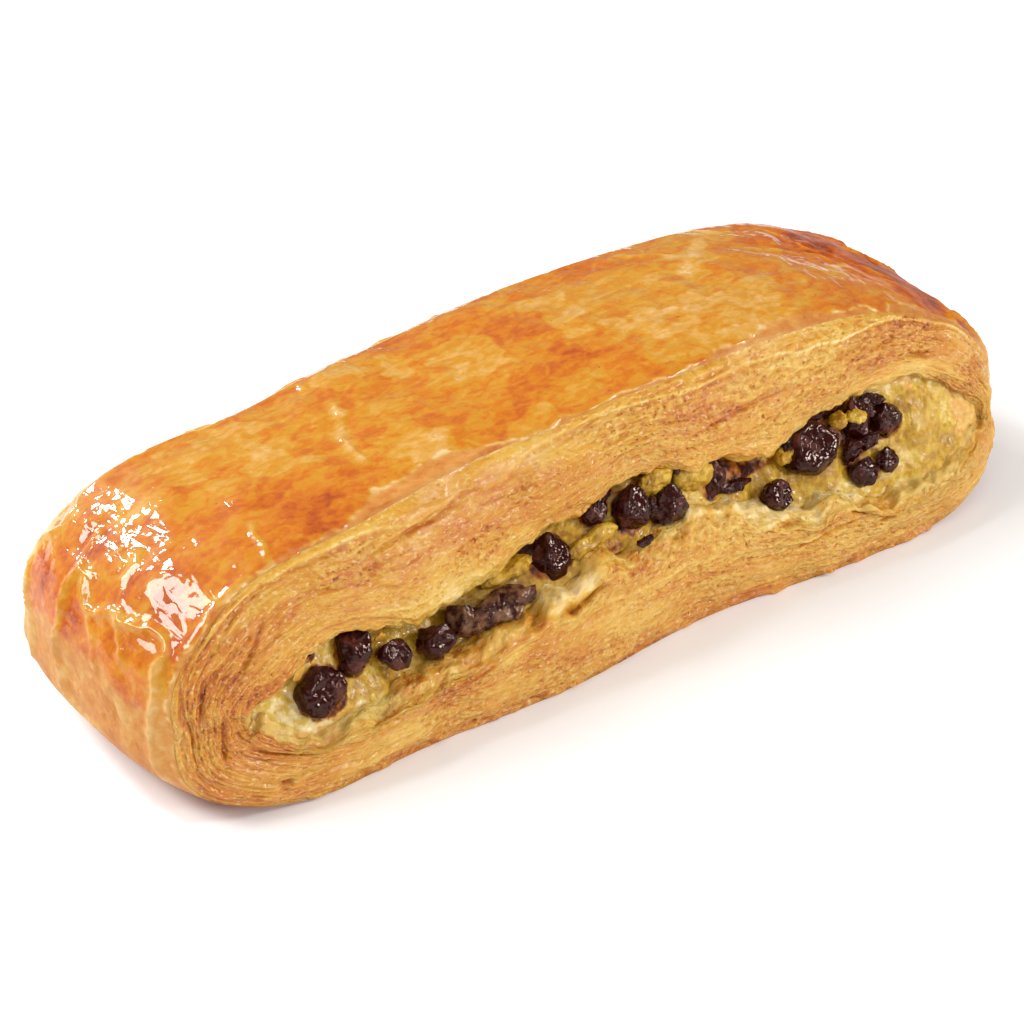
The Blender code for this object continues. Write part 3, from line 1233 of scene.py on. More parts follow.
    def wrinkles(self, smooth: Array) -> tuple[Array, Array]:
        """Swells and ripples of noise, creases along their lines, and crumpled folds at the two ends.

        A crease is a bell across its line with a wider and lower bell taken off. A fold is a high
        power of one minus the size of a noise, so it is sharp where the noise crosses zero.

        Args:
            smooth: the smooth skin.

        Returns:
            How far each point rises, and how far its glaze is wiped thin.
        """
        height = self.swell * cloud(smooth, 13, 31) + self.ripple * cloud(smooth, 4.5, 41)
        height += self.grain * cloud(smooth, 1.5, 51)
        wander = np.stack([cloud(smooth, 5, seed) for seed in (21, 22, 23)], axis=-1)
        wiped = np.zeros(smooth.shape[:-1])
        for crease in self.creases:
            gap = near_line(smooth + 1.3 * wander, crease.line)
            ridge = bell(gap, 0, crease.width)
            height += crease.height * (ridge - 0.6 * bell(gap, 0, 2.4 * crease.width))
            wiped = np.maximum(wiped, crease.wiped * ridge)
        ends = step(np.abs(smooth[..., 0]), 58, 70)
        fold = 1 - np.abs(cloud(smooth * (1, 1, 0.6) + 0.8 * wander, 11, 35, 2))
        fold = np.clip(fold, 0, 1) ** 7
        height += self.crumple * ends * (fold - 0.3)
        wiped = np.maximum(wiped, 0.7 * ends * fold)
        return height, wiped - 0.40 * ends * (1 - step(fold, 0.0, 0.3))

    def tuck_in(self, points: Array, normals: Array) -> Array:
        """The grid with one more column past each flap, sunk below the cut face.

        Args:
            points: the grid.
            normals: its normals.

        Returns:
            The wider grid.
        """
        first = points[:, :1] - normals[:, :1] * self.flap_depth
        last = points[:, -1:] - normals[:, -1:] * self.flap_depth
        return np.concatenate([first, points, last], axis=1)

    def values(
        self, points: Array, normals: Array, past: Array, wiped: Array
    ) -> tuple[dict[str, Array], Array]:
        """How far each point is baked, and how much glaze it has.

        Bake adds noise and browned patches, and takes off blisters, wiped creases and a painted highlight:
        a pale line along the glaze's edge. Glaze covers what lies above a wavy line and short of the rim.
        The dough below it has a bake of its own, and so does the fringe at the back of the left end.

        Args:
            points: the smooth skin.
            normals: its normals.
            past: distance past the nearest rim.
            wiped: how far a crease has thinned the glaze.

        Returns:
            The bake, glaze and bare values by name, and the glaze's cover alone.
        """
        x, y, z = np.moveaxis(points, -1, 0)
        above = step(z, 20, 28)
        bake = self.bake_level + self.mottle * cloud(points, 5.5, 61, 4, (0.6, 1, 1))
        bake += 0.85 * spots(x, y, self.browning) * step(z, 18, 26) + 0.07 * bell(past, -1, 1.6) * above
        blister = cloud(points, 6, 91, 3, (0.7, 1, 1)) + spots(x, y, self.blisters)
        bake -= self.blister_pale * step(blister, 0.42, 0.49) * step(z, 22, 30)
        line = self.glaze_line + 3.0 * cloud(points, 6, 71)
        rim = 0.35 + 0.8 * cloud(points, 3.0, 75) + waves(x, self.edge_line) * (y < 0)
        cover = step(z, line - 3.5, line + 1.5) * (1 - step(past, rim - 0.2, rim + 0.2))
        bare = self.bare_level + 0.13 * cloud(points, 3.5, 81, squeeze=(1, 1, 0.35)) + 0.14 * bell(z, 2, 5)
        bare += 0.22 * step(-normals[..., 2], 0.3, 0.8) + 0.16 * step(past, -2.5, -1.0) * above
        fringe = step(y, 15.0, 18.0) * step(-x, 44, 54)
        bake = bake * cover + bare * (1 - cover)
        bake = bake * (1 - fringe) + self.fringe_level * fringe
        # Painted highlight: a pale line along the glaze's edge.
        painted_edge_highlight = bell(past, rim - 0.05, 0.28) * step(cloud(points, 1.6, 77, 2), -0.3, 0.3)
        bake -= self.crease_pale * wiped + self.edge_highlight_strength * painted_edge_highlight
        dull = (1 - 0.95 * step(x, 46, 62)) * (1 - 0.5 * step(-x, 69, 73)) * (1 - 0.6 * fringe)
        glaze = np.clip(cover * dull, self.glaze_least, 1)
        return {"bake": np.clip(bake, 0, 1), "glaze": glaze, "bare": 1 - cover}, cover


@dataclass(frozen=True)
class Cut:
    """A slot or pit in a cut face: its middle in X and Z, half length, half width, lean and depth."""

    x: float
    z: float
    half_length: float
    half_width: float
    lean: float
    depth: float

    def share(self, x: Array, z: Array) -> Array:
        """How far inside the cut each place is: a bell across it, and a steeper one along it.

        Args:
            x, z: places on the face.

        Returns:
            Shares, 1 at the cut's middle.
        """
        cos, sin = np.cos(np.radians(self.lean)), np.sin(np.radians(self.lean))
        along = ((x - self.x) * cos + (z - self.z) * sin) / self.half_length
        across = ((z - self.z) * cos - (x - self.x) * sin) / self.half_width
        return np.exp(-(along**4) - across**2)


@dataclass
class Surface:
    """What a cut face has at each point: its height, how far it is baked, its porosity and wetness."""

    height: Array
    bake: Array
    porous: Array
    wet: Array


@dataclass
class CutFace:
    """One cut face of laminated dough, from under the crust's edge to inside the slit.

    Heights and depths are in millimetres. A band is where something fades in, in shares from the rim
    at 0 to the slit at 1, and left_end is the same in millimetres along X. Width is how long a whole
    share is on the map, and wall is how deep the slit is lined.
    """

    side: Side
    seed: int
    rows: int = 880
    columns: int = 98
    sheets: float = 6.0
    layers: float = 27.0
    roll: float = 0.30
    shelf: float = 0.38
    ledge: float = 0.13
    crack: float = 0.26
    pore: float = 0.30
    under: float = 0.18
    swell: float = 0.45
    grain: float = 0.10
    wrinkle: float = 0.22
    sheet_rise: float = 0.45
    foot: float = 0.7
    lip_rise: float = 0.40
    drifts: tuple[float, float] = (1.4, 0.7)
    bake_level: float = 0.45
    mottle: float = 0.10
    lip_mottle: float = 0.18
    slot_shade: float = 0.22
    border_pale: float = 0.40
    least_porous: float = 0.3
    width: float = 18.0
    wall: float = 5.0
    wall_steps: int = 12
    left_end: tuple[float, float] = (46, 60)
    edge_band: tuple[float, float] = (0.03, 0.09)
    rim_band: tuple[float, float] = (0.2, 0.42)
    lip_band: tuple[float, float] = (0.78, 0.9)
    wet_band: tuple[float, float] = (0.86, 0.98)
    browning: tuple[Spot, ...] = several(
        Spot,
        (-42, 29, 8, 3, 0.16), (-27, 27.5, 9, 3, 0.18), (-8, 29, 8, 3, 0.12), (17, 31.5, 9, 3, 0.16),
        (50, 29.5, 10, 4, 0.14), (-31, 8, 6, 3, 0.16), (-19, 8, 5, 3, 0.20), (-64, 17, 6, 12, 0.12),
        (-28, 20, 12, 2, -0.20), (-50, 10, 8, 2, -0.10), (52, 24, 8, 2.2, -0.14),
        (34, 13.2, 14, 1.5, -0.20), (-23, 11, 4, 1.6, -0.22), (20, 14.5, 10, 1.4, -0.16),
        (48, 7.5, 7, 1.5, -0.14), (-14, 14.5, 5, 2, -0.14),
    )
    smoothing: tuple[Spot, ...] = several(
        Spot,
        (-30, 33, 16, 2.0, 0.9), (-10, 34, 8, 1.6, 0.7), (-28, 20, 13, 2.2, 0.9), (-18, 9, 8, 3.5, 0.15),
        (53, 24, 10, 3.0, 0.25), (18, 14.5, 10, 1.4, 0.15), (8, 26, 10, 2, 0.4), (40, 24, 7, 3, 0.4),
    )
    soaking: tuple[Spot, ...] = several(
        Spot,
        (-61, 14, 4, 5, 1.0), (-52, 9.5, 6, 2.0, 1.1), (63, 15, 4, 6, 0.6), (54, 8.5, 8, 2.0, 0.9),
        (-24, 19.4, 10, 1.2, 0.3),
    )
    cuts: tuple[Cut, ...] = several(
        Cut,
        (-11, 13.6, 3.6, 0.55, 4, 1.8), (-17, 14.6, 2.2, 0.6, 25, 1.0), (34, 8.4, 5.5, 0.4, 6, 1.2),
        (39, 10.6, 1.4, 0.7, 0, 1.6), (27, 12.8, 2.0, 0.5, 0, 1.2), (45, 7.2, 2.0, 0.5, 0, 1.3),
        (-59, 5, 1.0, 0.5, 20, 1.2), (56, 27.2, 2.4, 0.5, -20, 1.0), (-33, 31.2, 6.0, 0.35, 8, 0.8),
        (20, 30, 9.0, 0.35, 2, 0.8), (-60, 24, 4.0, 0.3, 52, 0.6), (-66, 13, 3.5, 0.35, 82, 0.7),
        (-68, 19, 3.0, 0.35, 72, 0.9),
    )
    ridges: tuple[Crease, ...] = (
        Crease(((-35, 9.6), (-28, 10.8), (-22, 12.4), (-17, 13.4)), 0.5, 0.5, 0.30),
        Crease(((-45, 8), (-38, 8.6), (-30, 9.6)), 0.45, 0.4, 0.1),
        Crease(((-20, 5), (-17, 9), (-16, 12)), 0.5, 0.2, -0.1),
        Crease(((-47, 22.5), (-36, 22), (-24, 21.4)), 0.5, 0.35, -0.15),
        Crease(((-6, 12), (8, 11.4), (22, 9.6), (36, 8)), 0.4, 0.3, -0.15),
        Crease(((2, 9.2), (16, 8.2), (28, 6.6)), 0.4, 0.3, 0.15),
        Crease(((10, 30.5), (24, 30), (36, 29.6)), 0.45, 0.4, 0.1),
        Crease(((46, 25), (53, 25.6), (60, 24), (64, 20)), 0.5, 0.15, -0.1),
        Crease(((10, 16.6), (15, 16.4), (22, 14.8), (27, 14.2), (31, 14.2)), 0.6, 0.25, -0.18),
        Crease(((36, 12), (44, 10.4), (52, 10.2)), 0.5, 0.25, -0.18),
        Crease(((-19, 14), (-15, 15), (-10, 15.6), (-6, 15.4)), 0.2, 0.2, -0.12),
    )
    sheet_edge: tuple[Wave, ...] = several(
        Wave,
        (0.12, -31, 6), (0.13, -19, 5), (0.06, 12, 9), (0.10, 40, 12),
    )

    def build(self, chips: Sequence["Chip"]) -> bpy.types.Object:
        """Make the face: the smooth face moved by its relief, with its slit pushed open round the chips.

        Args:
            chips: the chips that lie at this face.

        Returns:
            The piece, which stands for part of the dough.
        """
        loop = np.arange(self.rows) / self.rows
        share = np.linspace(0, 1, self.columns)
        depths = np.linspace(0, self.wall, self.wall_steps + 1)[1:]
        face = LOAF.face(LOAF.turns(loop), self.side, share)
        smooth = np.concatenate([self.root(face), face, self.inner(face, depths)], axis=1)
        along = np.concatenate([[0, 0], share, 1 + depths / self.width])
        loops, shares = np.meshgrid(loop, along, indexing="ij")
        normals = grid_normals(smooth)
        surface = self.relief(loops, shares, smooth)
        height = surface.height - self.under * (1 - step(shares, 0.0, 0.03))
        points = smooth + normals * height[..., None]
        points[..., 2] += self.drift(loops, shares, smooth)
        for chip in chips:
            points = chip.push(points)
        points[..., 2] = np.maximum(points[..., 2], 0)
        piece = make_piece(f"crumb_{self.side.name.lower()}", points, grid_faces(points, closed=True))
        values = {"bake": surface.bake, "porous": surface.porous, "wet": surface.wet}
        add_values(piece, **{name: np.clip(value, 0, 1) for name, value in values.items()})
        folded = np.abs(np.mod(loops + 0.25, 1) - 0.5) * LOOP_LENGTH
        add_map(piece, folded, shares * self.width)
        return piece

    def root(self, face: Array) -> Array:
        """Two columns that start the face behind the crust's edge.

        Args:
            face: the smooth face.

        Returns:
            The columns, further in along Y and along the face.
        """
        inward = face[:, 3] - face[:, 0]
        inward /= np.linalg.norm(inward, axis=-1, keepdims=True)
        first = face[:, 0] - self.side.out * 2.5 + inward * 1.5
        second = face[:, 0] - self.side.out * 0.8 + inward * 0.5
        return np.stack([first, second], axis=1)

    def inner(self, face: Array, depths: Array) -> Array:
        """The columns that line the slit, straight in along Y from its lips."""
        return np.stack([face[:, -1] - self.side.out * depth for depth in depths], axis=1)

    def drift(self, loops: Array, shares: Array, smooth: Array) -> Array:
        """The lips' drift up and down, which makes the slit uneven.

        Args:
            loops: loop share of each point.
            shares: share from rim to slit of each point.
            smooth: the smooth face.

        Returns:
            The move of each point along Z.
        """
        lift = (ring_noise(loops, 70, self.seed + 5) - 0.5) * self.drifts[0]
        lift += (ring_noise(loops, 200, self.seed + 6) - 0.5) * self.drifts[1]
        lift += LIPS.lift(smooth[..., 0], np.sin(2 * np.pi * loops), self.side)
        return lift * step(shares, 0.55, 1.0)

    def relief(self, loops: Array, shares: Array, points: Array) -> Surface:
        """Sheets, layers, cracks and pores of the face, and then its slots, ridges and edges.

        A sheet's number is its share times the number of sheets, bent by noise, and each sheet is a
        rounded roll that stands out by its own noise along the loop. Layers do the same more finely.

        Args:
            loops: loop share of each point.
            shares: share from rim to slit of each point.
            points: the smooth face.

        Returns:
            The height, bake, porosity and wetness of each point.
        """
        x, _, z = np.moveaxis(points, -1, 0)
        left = step(-x, *self.left_end)
        rim = 1 - step(shares, *self.rim_band)
        edge = step(shares, *self.edge_band)
        bend = 1.1 * (loop_noise(loops, shares * 2.5, 17, self.seed) - 0.5)
        bend += 0.5 * (loop_noise(loops, shares * 6, 60, self.seed + 1) - 0.5)
        level = shares * self.sheets + bend
        sheet, sheet_crack, sheet_tone, _ = self.pile(loops, level, 26, 0.45, self.seed + 20)
        level = shares * self.layers + 3.2 * bend
        layer, crack, tone, crest = self.pile(loops, level, 80, 0.66, self.seed + 30)
        calm = np.clip(spots(x, z, self.smoothing), 0, 1)
        rough = edge * (1 - 0.65 * calm)
        patch = 0.5 + 0.6 * cloud(points, 5, self.seed + 40, 2, (0.45, 1, 1))
        porous = np.clip(0.35 + 0.9 * step(patch, 0.1, 0.7), 0, 1) * (1 - 0.55 * calm)
        porous *= (1 - 0.15 * step(shares, 0.84, 0.96)) * (1 - 0.4 * left)
        holes = loop_noise(loops, shares * 34, 400, self.seed + 4) * 0.6
        holes += loop_noise(loops, shares * 60, 640, self.seed + 7) * 0.4
        pore = step(holes, 0.60, 0.78) * porous
        fold = 1 - np.abs(cloud(points, 3.4, self.seed + 10, 2, (0.4, 1, 1)))

        rises = self.shelf * sheet * (1 + 0.4 * left) + self.ledge * layer * (1 + 1.6 * left + 0.8 * rim)
        height = edge * ((1 - 0.5 * calm) * rises + (0.04 + 0.08 * left) * crest)
        height += edge * self.swell * cloud(points, 9, self.seed + 9)
        sinks = self.roll * sheet_crack + self.crack * crack * (0.6 + 0.5 * left + 0.6 * rim)
        grain = self.wrinkle * (fold - 0.7) + self.grain * cloud(points, 1.6, self.seed + 13, 2)
        height += rough * (grain - sinks - self.pore * pore)

        bake = self.bake_level + self.mottle * cloud(points, 6, self.seed + 12, 4, (0.6, 1, 1))
        bake += spots(x, z, self.browning) + 0.20 * bell(z, 0, 2.4) - 0.08 * step(shares, 0.84, 1.0)
        tones = 0.12 * left - 0.05 * sheet_tone - (0.05 + 0.05 * left) * tone
        bake += edge * (tones - (0.05 + 0.16 * left + 0.08 * rim) * crest)
        # Painted shade: pores, open joints and the hollows between wrinkles, which the heights above sink,
        # are painted darker.
        toast = 0.12 * pore + 0.06 * sheet_crack + (0.05 + 0.10 * left + 0.07 * rim) * crack
        bake += rough * (toast + 0.10 * (0.7 - fold))

        ends = step(np.abs(x - 4), 30, 50)
        wet = (0.1 + 0.7 * ends) * step(shares + 0.06 * (patch - 0.5), *self.wet_band)
        wet += 0.5 * spots(x, z, self.soaking)
        surface = Surface(height, bake, porous, wet)
        self.add_slots_and_ridges(surface, points, bend, patch)
        self.add_edges(surface, loops, shares, points, patch)
        surface.porous = np.clip(surface.porous, self.least_porous, 1)
        return surface

    def add_slots_and_ridges(self, surface: Surface, points: Array, bend: Array, patch: Array) -> None:
        """Sink the slots, with painted shade that darkens each by its depth, and raise a bell along each
        ridge's line.

        Args:
            surface: the face's surface, which changes.
            points: the smooth face.
            bend: noise that bends the lines.
            patch: noise that makes the ridges come and go.
        """
        x, _, z = np.moveaxis(points, -1, 0)
        for cut in self.cuts:
            inside = cut.share(x + 0.5 * bend, z + 0.6 * bend)
            surface.height -= cut.depth * inside
            # Painted shade: each slot is painted darker the deeper it is.
            surface.bake += self.slot_shade * min(cut.depth, 1.5) * inside
        flat = points * (1, 0, 1) + 0.5 * bend[..., None]
        for ridge in self.ridges:
            line = [(corner[0], 0.0, corner[1]) for corner in ridge.line]
            crest = bell(near_line(flat, line), 0, ridge.width) * (0.5 + patch)
            surface.height += ridge.height * crest
            surface.bake += ridge.wiped * crest
            surface.porous *= 1 - 0.6 * np.clip(crest, 0, 1)

    def add_edges(
        self, surface: Surface, loops: Array, shares: Array, points: Array, patch: Array
    ) -> None:
        """Lay the outermost sheet under the crust, with a pale border and painted shade just below its
        step, and roughen the foot and lips.

        Args:
            surface: the face's surface, which changes.
            loops: loop share of each point.
            shares: share from rim to slit of each point.
            points: the smooth face.
            patch: noise that makes the border come and go.
        """
        x, _, z = np.moveaxis(points, -1, 0)
        top = step(z, 20, 26)
        border = 0.085 + waves(x, self.sheet_edge) + 0.03 * (ring_noise(loops, 90, self.seed + 41) - 0.5)
        cover = (1 - step(shares, border, border + 0.015)) * top
        surface.height += self.sheet_rise * cover * step(shares, *self.edge_band)
        pale = self.border_pale * bell(shares, border, 0.009) * (0.3 + patch)
        # Painted shade: a darker band just past the pale border, below the raised sheet's step.
        surface.bake += (0.12 * bell(shares, border + 0.03, 0.02) - pale) * top
        surface.porous *= 1 - 0.2 * cover
        foot = self.foot * bell(z, 0.8, 1.0)
        surface.height += foot * cloud(points, 2.2, self.seed + 14, 2, (0.7, 1, 1))
        lip = step(shares, *self.lip_band)
        surface.height += self.lip_rise * lip * cloud(points, 1.5, self.seed + 15, 4, (0.8, 1, 1))
        surface.bake += self.lip_mottle * lip * cloud(points, 1.4, self.seed + 16, 3, (0.8, 1, 1))

    def pile(self, loops: Array, level: Array, cells: int, closed: float, seed: int) -> tuple[Array, ...]:
        """A stack of sheets, each with its own noise along the loop.

        Args:
            loops: loop share of each point.
            level: sheet number of each point, whose whole part counts the sheets.
            cells: lattice steps of the noise in one loop.
            closed: share of the joints that stay closed.
            seed: which stack.

        Returns:
            How far each point stands out, how deep it lies in an open joint, its sheet's tone, and
            how near it is to its sheet's pale edge.
        """
        level = level + 8
        index = np.floor(level)
        within = level - index
        own = loop_noise(loops, index, cells, seed)
        below = loop_noise(loops, index + 1, cells, seed)
        turned = step(within, 0.7, 1.0)
        stand = own * (1 - turned) + below * turned - 0.5
        gate = step(loop_noise(loops, index, 2 * cells, seed + 1), closed, closed + 0.3)
        joint = gate * bell(within, 0.85, 0.11)
        tone = loop_noise(loops, index, cells // 2, seed + 2) * (1 - turned) - 0.5
        edge = step(loop_noise(loops, index + 3, 3 * cells, seed + 3), 0.35, 0.6)
        return stand * 1.4, joint, tone, edge * bell(within, 0.6, 0.13)


def ball(subdivisions: int) -> tuple[Array, Faces]:
    """An even ball of radius 1.

    Args:
        subdivisions: how often an icosahedron's faces are split.

    Returns:
        Its points and faces.
    """
    shape = bmesh.new()
    bmesh.ops.create_icosphere(shape, subdivisions=subdivisions, radius=1)
    points = np.array([vertex.co[:] for vertex in shape.verts])
    faces = [[vertex.index for vertex in face.verts] for face in shape.faces]
    shape.free()
    return points, faces


@dataclass(frozen=True)
class Blob:
    """How a ball is turned into a lump: its facets and its roughness at two sizes.

    Facets are cut between nearest and farthest from the middle, as shares of the radius. Cut and
    polish say how much of what stands past a facet, or past a further flat facet, goes away.
    """

    facets: int
    nearest: float
    farthest: float
    lumps: float
    grain: float
    tip: float = 0.22
    subdivisions: int = 5
    cut: float = 0.92
    polish: float = 0.85
    polish_from: float = 0.76

    def shape(
        self, radii: Array, axes: Array, seed: int, flats: Sequence[Array] = ()
    ) -> tuple[Array, Faces]:
        """Cut the ball by flat facets at random, stretch and turn it, and roughen it.

        Args:
            radii: half sizes along the three axes.
            axes: the axes as columns.
            seed: which lump.
            flats: the ways that further flat facets look; a lump with any also gets a drop's tip.

        Returns:
            The points about the middle, and the faces.
        """
        chooser = np.random.default_rng(seed)
        points, faces = ball(self.subdivisions)
        for _ in range(self.facets):
            normal = chooser.normal(size=3)
            normal /= np.linalg.norm(normal)
            over = np.clip(points @ normal - chooser.uniform(self.nearest, self.farthest), 0, None)
            points -= self.cut * over[:, None] * normal
        points /= np.abs(points).max(axis=0)
        sized = (points * radii) @ axes.T
        if len(flats):
            way = sized / np.linalg.norm(sized, axis=1, keepdims=True)
            tip = np.clip(way[:, 2] + 0.25 * chooser.normal() * way[:, 0], 0, 1) ** 14
            sized[:, 2] *= 1 + self.tip * tip
        for flat in flats:
            heights = sized @ flat
            over = np.clip(heights - self.polish_from * heights.max(), 0, None)
            sized -= self.polish * over[:, None] * flat
        away = sized / np.linalg.norm(sized, axis=1, keepdims=True)
        size = float(np.mean(radii))
        seat = sized + 100.0 * seed
        lump = self.lumps * size * cloud(seat, 0.8 * size, seed, 2)
        rough = self.grain * size * cloud(seat, 0.22 * size, seed + 3, 3)
        return sized + away * (lump + rough)[:, None], faces


@dataclass
class Chip:
    """A chocolate chip that takes its place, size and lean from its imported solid.

    Growth makes it a little larger than the solid, and out moves it out of the custard. The push
    values say how deep and how strongly it moves the dough, which hugs it.
    """

    node: str
    seed: int
    veil: float = 0.0
    growth: float = 1.10
    out: float = 0.8
    hug: float = 0.9
    push_depth: float = 5.0
    push_limit: float = 3.0
    blob: Blob = Blob(5, 0.6, 0.88, 0.16, 0.045)
    polished: tuple[Vector, ...] = ((0.06, 0.75, 0.66), (-0.01, 0.885, 0.466))

    def __post_init__(self) -> None:
        """Read the solid: its middle, its three main directions and its half sizes along them."""
        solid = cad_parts[self.node].data
        points = np.empty(len(solid.vertices) * 3)
        solid.vertices.foreach_get("co", points)
        points = points.reshape(-1, 3) / MM
        self.middle = (points.min(axis=0) + points.max(axis=0)) / 2
        _, self.axes = np.linalg.eigh(np.cov((points - self.middle).T))
        if np.linalg.det(self.axes) < 0:
            self.axes[:, 0] *= -1
        self.radii = np.abs((points - self.middle) @ self.axes).max(axis=0)
        self.middle[1] += np.sign(self.middle[1]) * self.out

    def reach(self) -> tuple[float, float]:
        """Half width and half height as the cut face sees them."""
        spans = np.sqrt(((self.axes * self.radii) ** 2).sum(axis=1))
        return float(spans[0]), float(spans[2])

    def push(self, points: Array) -> Array:
        """Move points of the dough out of the chip's way.

        A point's distance from the middle, in chip radii, becomes the fifth root of one plus its
        fifth power, so that far points stay and near ones come to rest on the chip.

        Args:
            points: a grid of places.

        Returns:
            The moved grid.
        """
        half_width, half_height = self.reach()
        offset = points - self.middle
        across = offset[..., 0] / (half_width * self.hug)
        up = offset[..., 2] / (half_height * self.hug)
        distance = np.maximum(np.hypot(across, up), 1e-3)
        pushed = np.minimum((distance**5 + 1) ** (1 / 5) / distance, self.push_limit)
        factor = 1 + (pushed - 1) * bell(offset[..., 1], 0, self.push_depth)
        moved = points.copy()
        moved[..., 0] = self.middle[0] + offset[..., 0] * factor
        moved[..., 2] = self.middle[2] + offset[..., 2] * factor
        return moved

    def build(self) -> bpy.types.Object:
        """Make the chip: a broken, faceted lump on the solid's axes.

        Returns:
            The piece, which stands for the chip's node.
        """
        side = np.sign(self.middle[1])
        chooser = np.random.default_rng(self.seed)
        flats = []
        for way in self.polished:
            flat = np.array(way) * (-side, side, 1) + chooser.normal(scale=0.06, size=3)
            flats.append(flat / np.linalg.norm(flat))
        points, faces = self.blob.shape(self.radii * self.growth, self.axes, self.seed, flats)
        piece = make_piece(self.node.replace("chip", "chocolate_chip"), points + self.middle, faces)
        add_values(piece, veil=np.full(len(points), self.veil))
        return piece


@dataclass(frozen=True)
class Lump:
    """A lump of filling in the slit: its place in X and Z, half sizes, lean, and how far it stands out."""

    x: float
    z: float
    half_length: float
    half_height: float
    lean: float
    out: float
    depth: float = 1.6

    def middle(self, side: Side) -> Array:
        """The lump's middle, set by the plane between the lips."""
        y = LOAF.filling_depth(np.array([self.x]), np.array([self.z]), side)[0]
        return np.array([self.x, float(y) + side.value * self.out, self.z])

    def axes(self) -> Array:
        """The lump's axes, turned by its lean in the plane of X and Z."""
        cos, sin = np.cos(np.radians(self.lean)), np.sin(np.radians(self.lean))
        return np.array([[cos, 0, -sin], [0, 1, 0], [sin, 0, cos]])

    def shape(self, side: Side, blob: Blob, seed: int) -> tuple[Array, Faces]:
        """The lump at one cut face.

        Args:
            side: which cut face.
            blob: the kind of lump.
            seed: which lump.

        Returns:
            Its points and faces.
        """
        radii = np.array([self.half_length, self.depth, self.half_height])
        points, faces = blob.shape(radii, self.axes(), seed)
        return points + self.middle(side), faces


@dataclass
class Lumps:
    """Lumps of one kind of filling, joined into one piece."""

    name: str
    blob: Blob
    front: tuple[Lump, ...]
    back: tuple[Lump, ...]
    seed: int
    veil: float = 0.0
    shade: float = 0.42

    def build(self) -> bpy.types.Object:
        """Make the lumps.

        Returns:
            The piece, which has every value that the material it gets may read.
        """
        clouds, faces = [], []
        count = 0
        for side, rows in ((Side.FRONT, self.front), (Side.BACK, self.back)):
            for index, lump in enumerate(rows):
                points, own = lump.shape(side, self.blob, self.seed + 11 * index + side.value)
                clouds.append(points)
                faces += [[corner + count for corner in face] for face in own]
                count += len(points)
        points = np.concatenate(clouds)
        piece = make_piece(self.name, points, faces)
        tone = np.clip(self.shade + 0.2 * cloud(points, 2.5, self.seed, 2), 0, 1)
        even = {"stain": 0.0, "dough": 0.0, "wet": 0.0, "porous": 0.3, "veil": self.veil}
        constants = {name: np.full(len(points), value) for name, value in even.items()}
        add_values(piece, tone=tone, bake=tone, **constants)
        return piece


